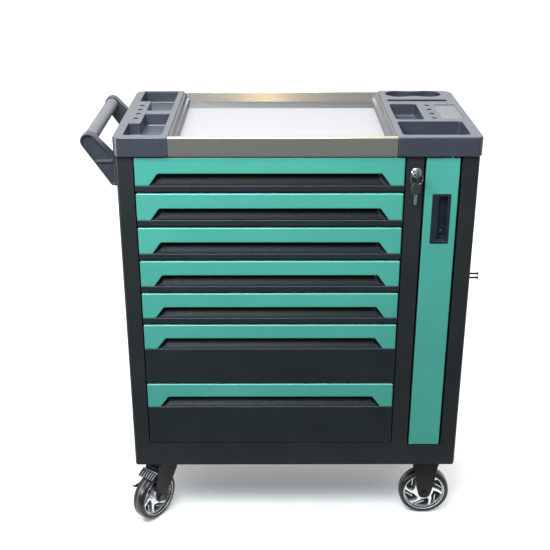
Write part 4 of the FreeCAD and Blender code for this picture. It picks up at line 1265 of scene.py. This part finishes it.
def card(name, corners, color, strength):
    """Studio card that only reflections see."""
    material = bpy.data.materials.new(name)
    material.use_nodes = True
    tree = material.node_tree
    tree.nodes.remove(tree.nodes["Principled BSDF"])
    glow = tree.nodes.new("ShaderNodeEmission")
    glow.inputs["Color"].default_value = (*color, 1)
    glow.inputs["Strength"].default_value = strength
    tree.links.new(glow.outputs["Emission"], tree.nodes["Material Output"].inputs["Surface"])
    panel = sheet(name, corners, material)
    for ray in ("camera", "diffuse", "shadow", "transmission", "volume_scatter"):
        setattr(panel, "visible_" + ray, False)


def lying(half, y0, y1, z=0.01):
    """Corners of a level card."""
    return [(-half, y0, z), (half, y0, z), (half, y1, z), (-half, y1, z)]


def standing(x0, x1, z0, z1, y=-5.9):
    """Corners of an upright card in front of the cart."""
    return [(x0, y, z0), (x1, y, z0), (x1, y, z1), (x0, y, z1)]


def studio():
    """Pale floor, soft sky, one lamp in front and one behind, and cards that steel and gloss mirror."""
    sky()
    paper = Finish("floor paper", (0.95, 0.95, 0.95), 0.9, specular=0.0)
    paper.shader.inputs["Emission Color"].default_value = (1, 1, 1, 1)
    paper.shader.inputs["Emission Strength"].default_value = 0.12
    floor = sheet("floor", lying(FLOOR_REACH, -FLOOR_REACH, FLOOR_REACH, 0), paper.material)
    floor.visible_diffuse = False
    lamp("front lamp", (-0.5, -1.25, 2.15), (0, -0.2, 0.75), (1.4, 0.8), 60, (0.86, 0.97, 1.0))
    rear = lamp("rear lamp", (0.4, 2.6, 2.6), (0, 0.2, 0.9), (3.0, 1.6), 45, (1.0, 0.99, 0.98))
    rear.visible_glossy = False
    card("low flag", lying(8, -1.3, -0.33), (1.0, 0.98, 0.94), 0.14)
    card("cool flag", lying(8, -14, -1.3), (0.76, 0.95, 1.28), 0.22)
    card("warm card", standing(-3, 3, 1.2, 3.4, -6), (1.0, 0.93, 0.86), 0.42)
    card("warm lamp", standing(-0.16, -0.02, 1.7, 2.9), (1.0, 0.77, 0.35), 5.6)


def tyre_light():
    """Small card placed where the front swivel tyre's shoulder mirrors it to the camera."""
    axis = joint_axis("swivel_wheel_spin_front")
    centre = joint_place("swivel_wheel_spin_front")
    slope = math.radians(TYRE_SLOPE)
    outward = trail_of("front") * math.cos(slope) + UP * math.sin(slope)
    spot = centre + outward * TYRE_SPOT[0] + axis * TYRE_SPOT[1]
    toward = (Vector(CAMERA_PLACE) - spot).normalized()
    lean = (outward + axis * TYRE_LEAN).normalized()
    bounce = lean * 2 * lean.dot(toward) - toward
    middle = spot + bounce * TYRE_CARD_FAR
    side = bounce.cross(UP).normalized() * TYRE_CARD_HALF
    rise = side.cross(bounce).normalized() * TYRE_CARD_HALF
    corners = [middle - side - rise, middle + side - rise, middle + side + rise, middle - side + rise]
    card("tyre light", corners, (1.0, 1.0, 1.0), 65.0)


def camera():
    """At the front, 1.53 m up, looking down on the cart."""
    lens = bpy.data.cameras.new("camera")
    lens.lens = CAMERA_LENS
    lens.sensor_width = 36
    lens.clip_end = 60
    view = placed("camera", lens)
    view.location = CAMERA_PLACE
    view.rotation_euler = (math.radians(90 - CAMERA_TILT), 0, math.radians(CAMERA_PAN))
    bpy.context.scene.camera = view
    bpy.context.scene.view_settings.view_transform = "Standard"


studio()
tyre_light()
camera()
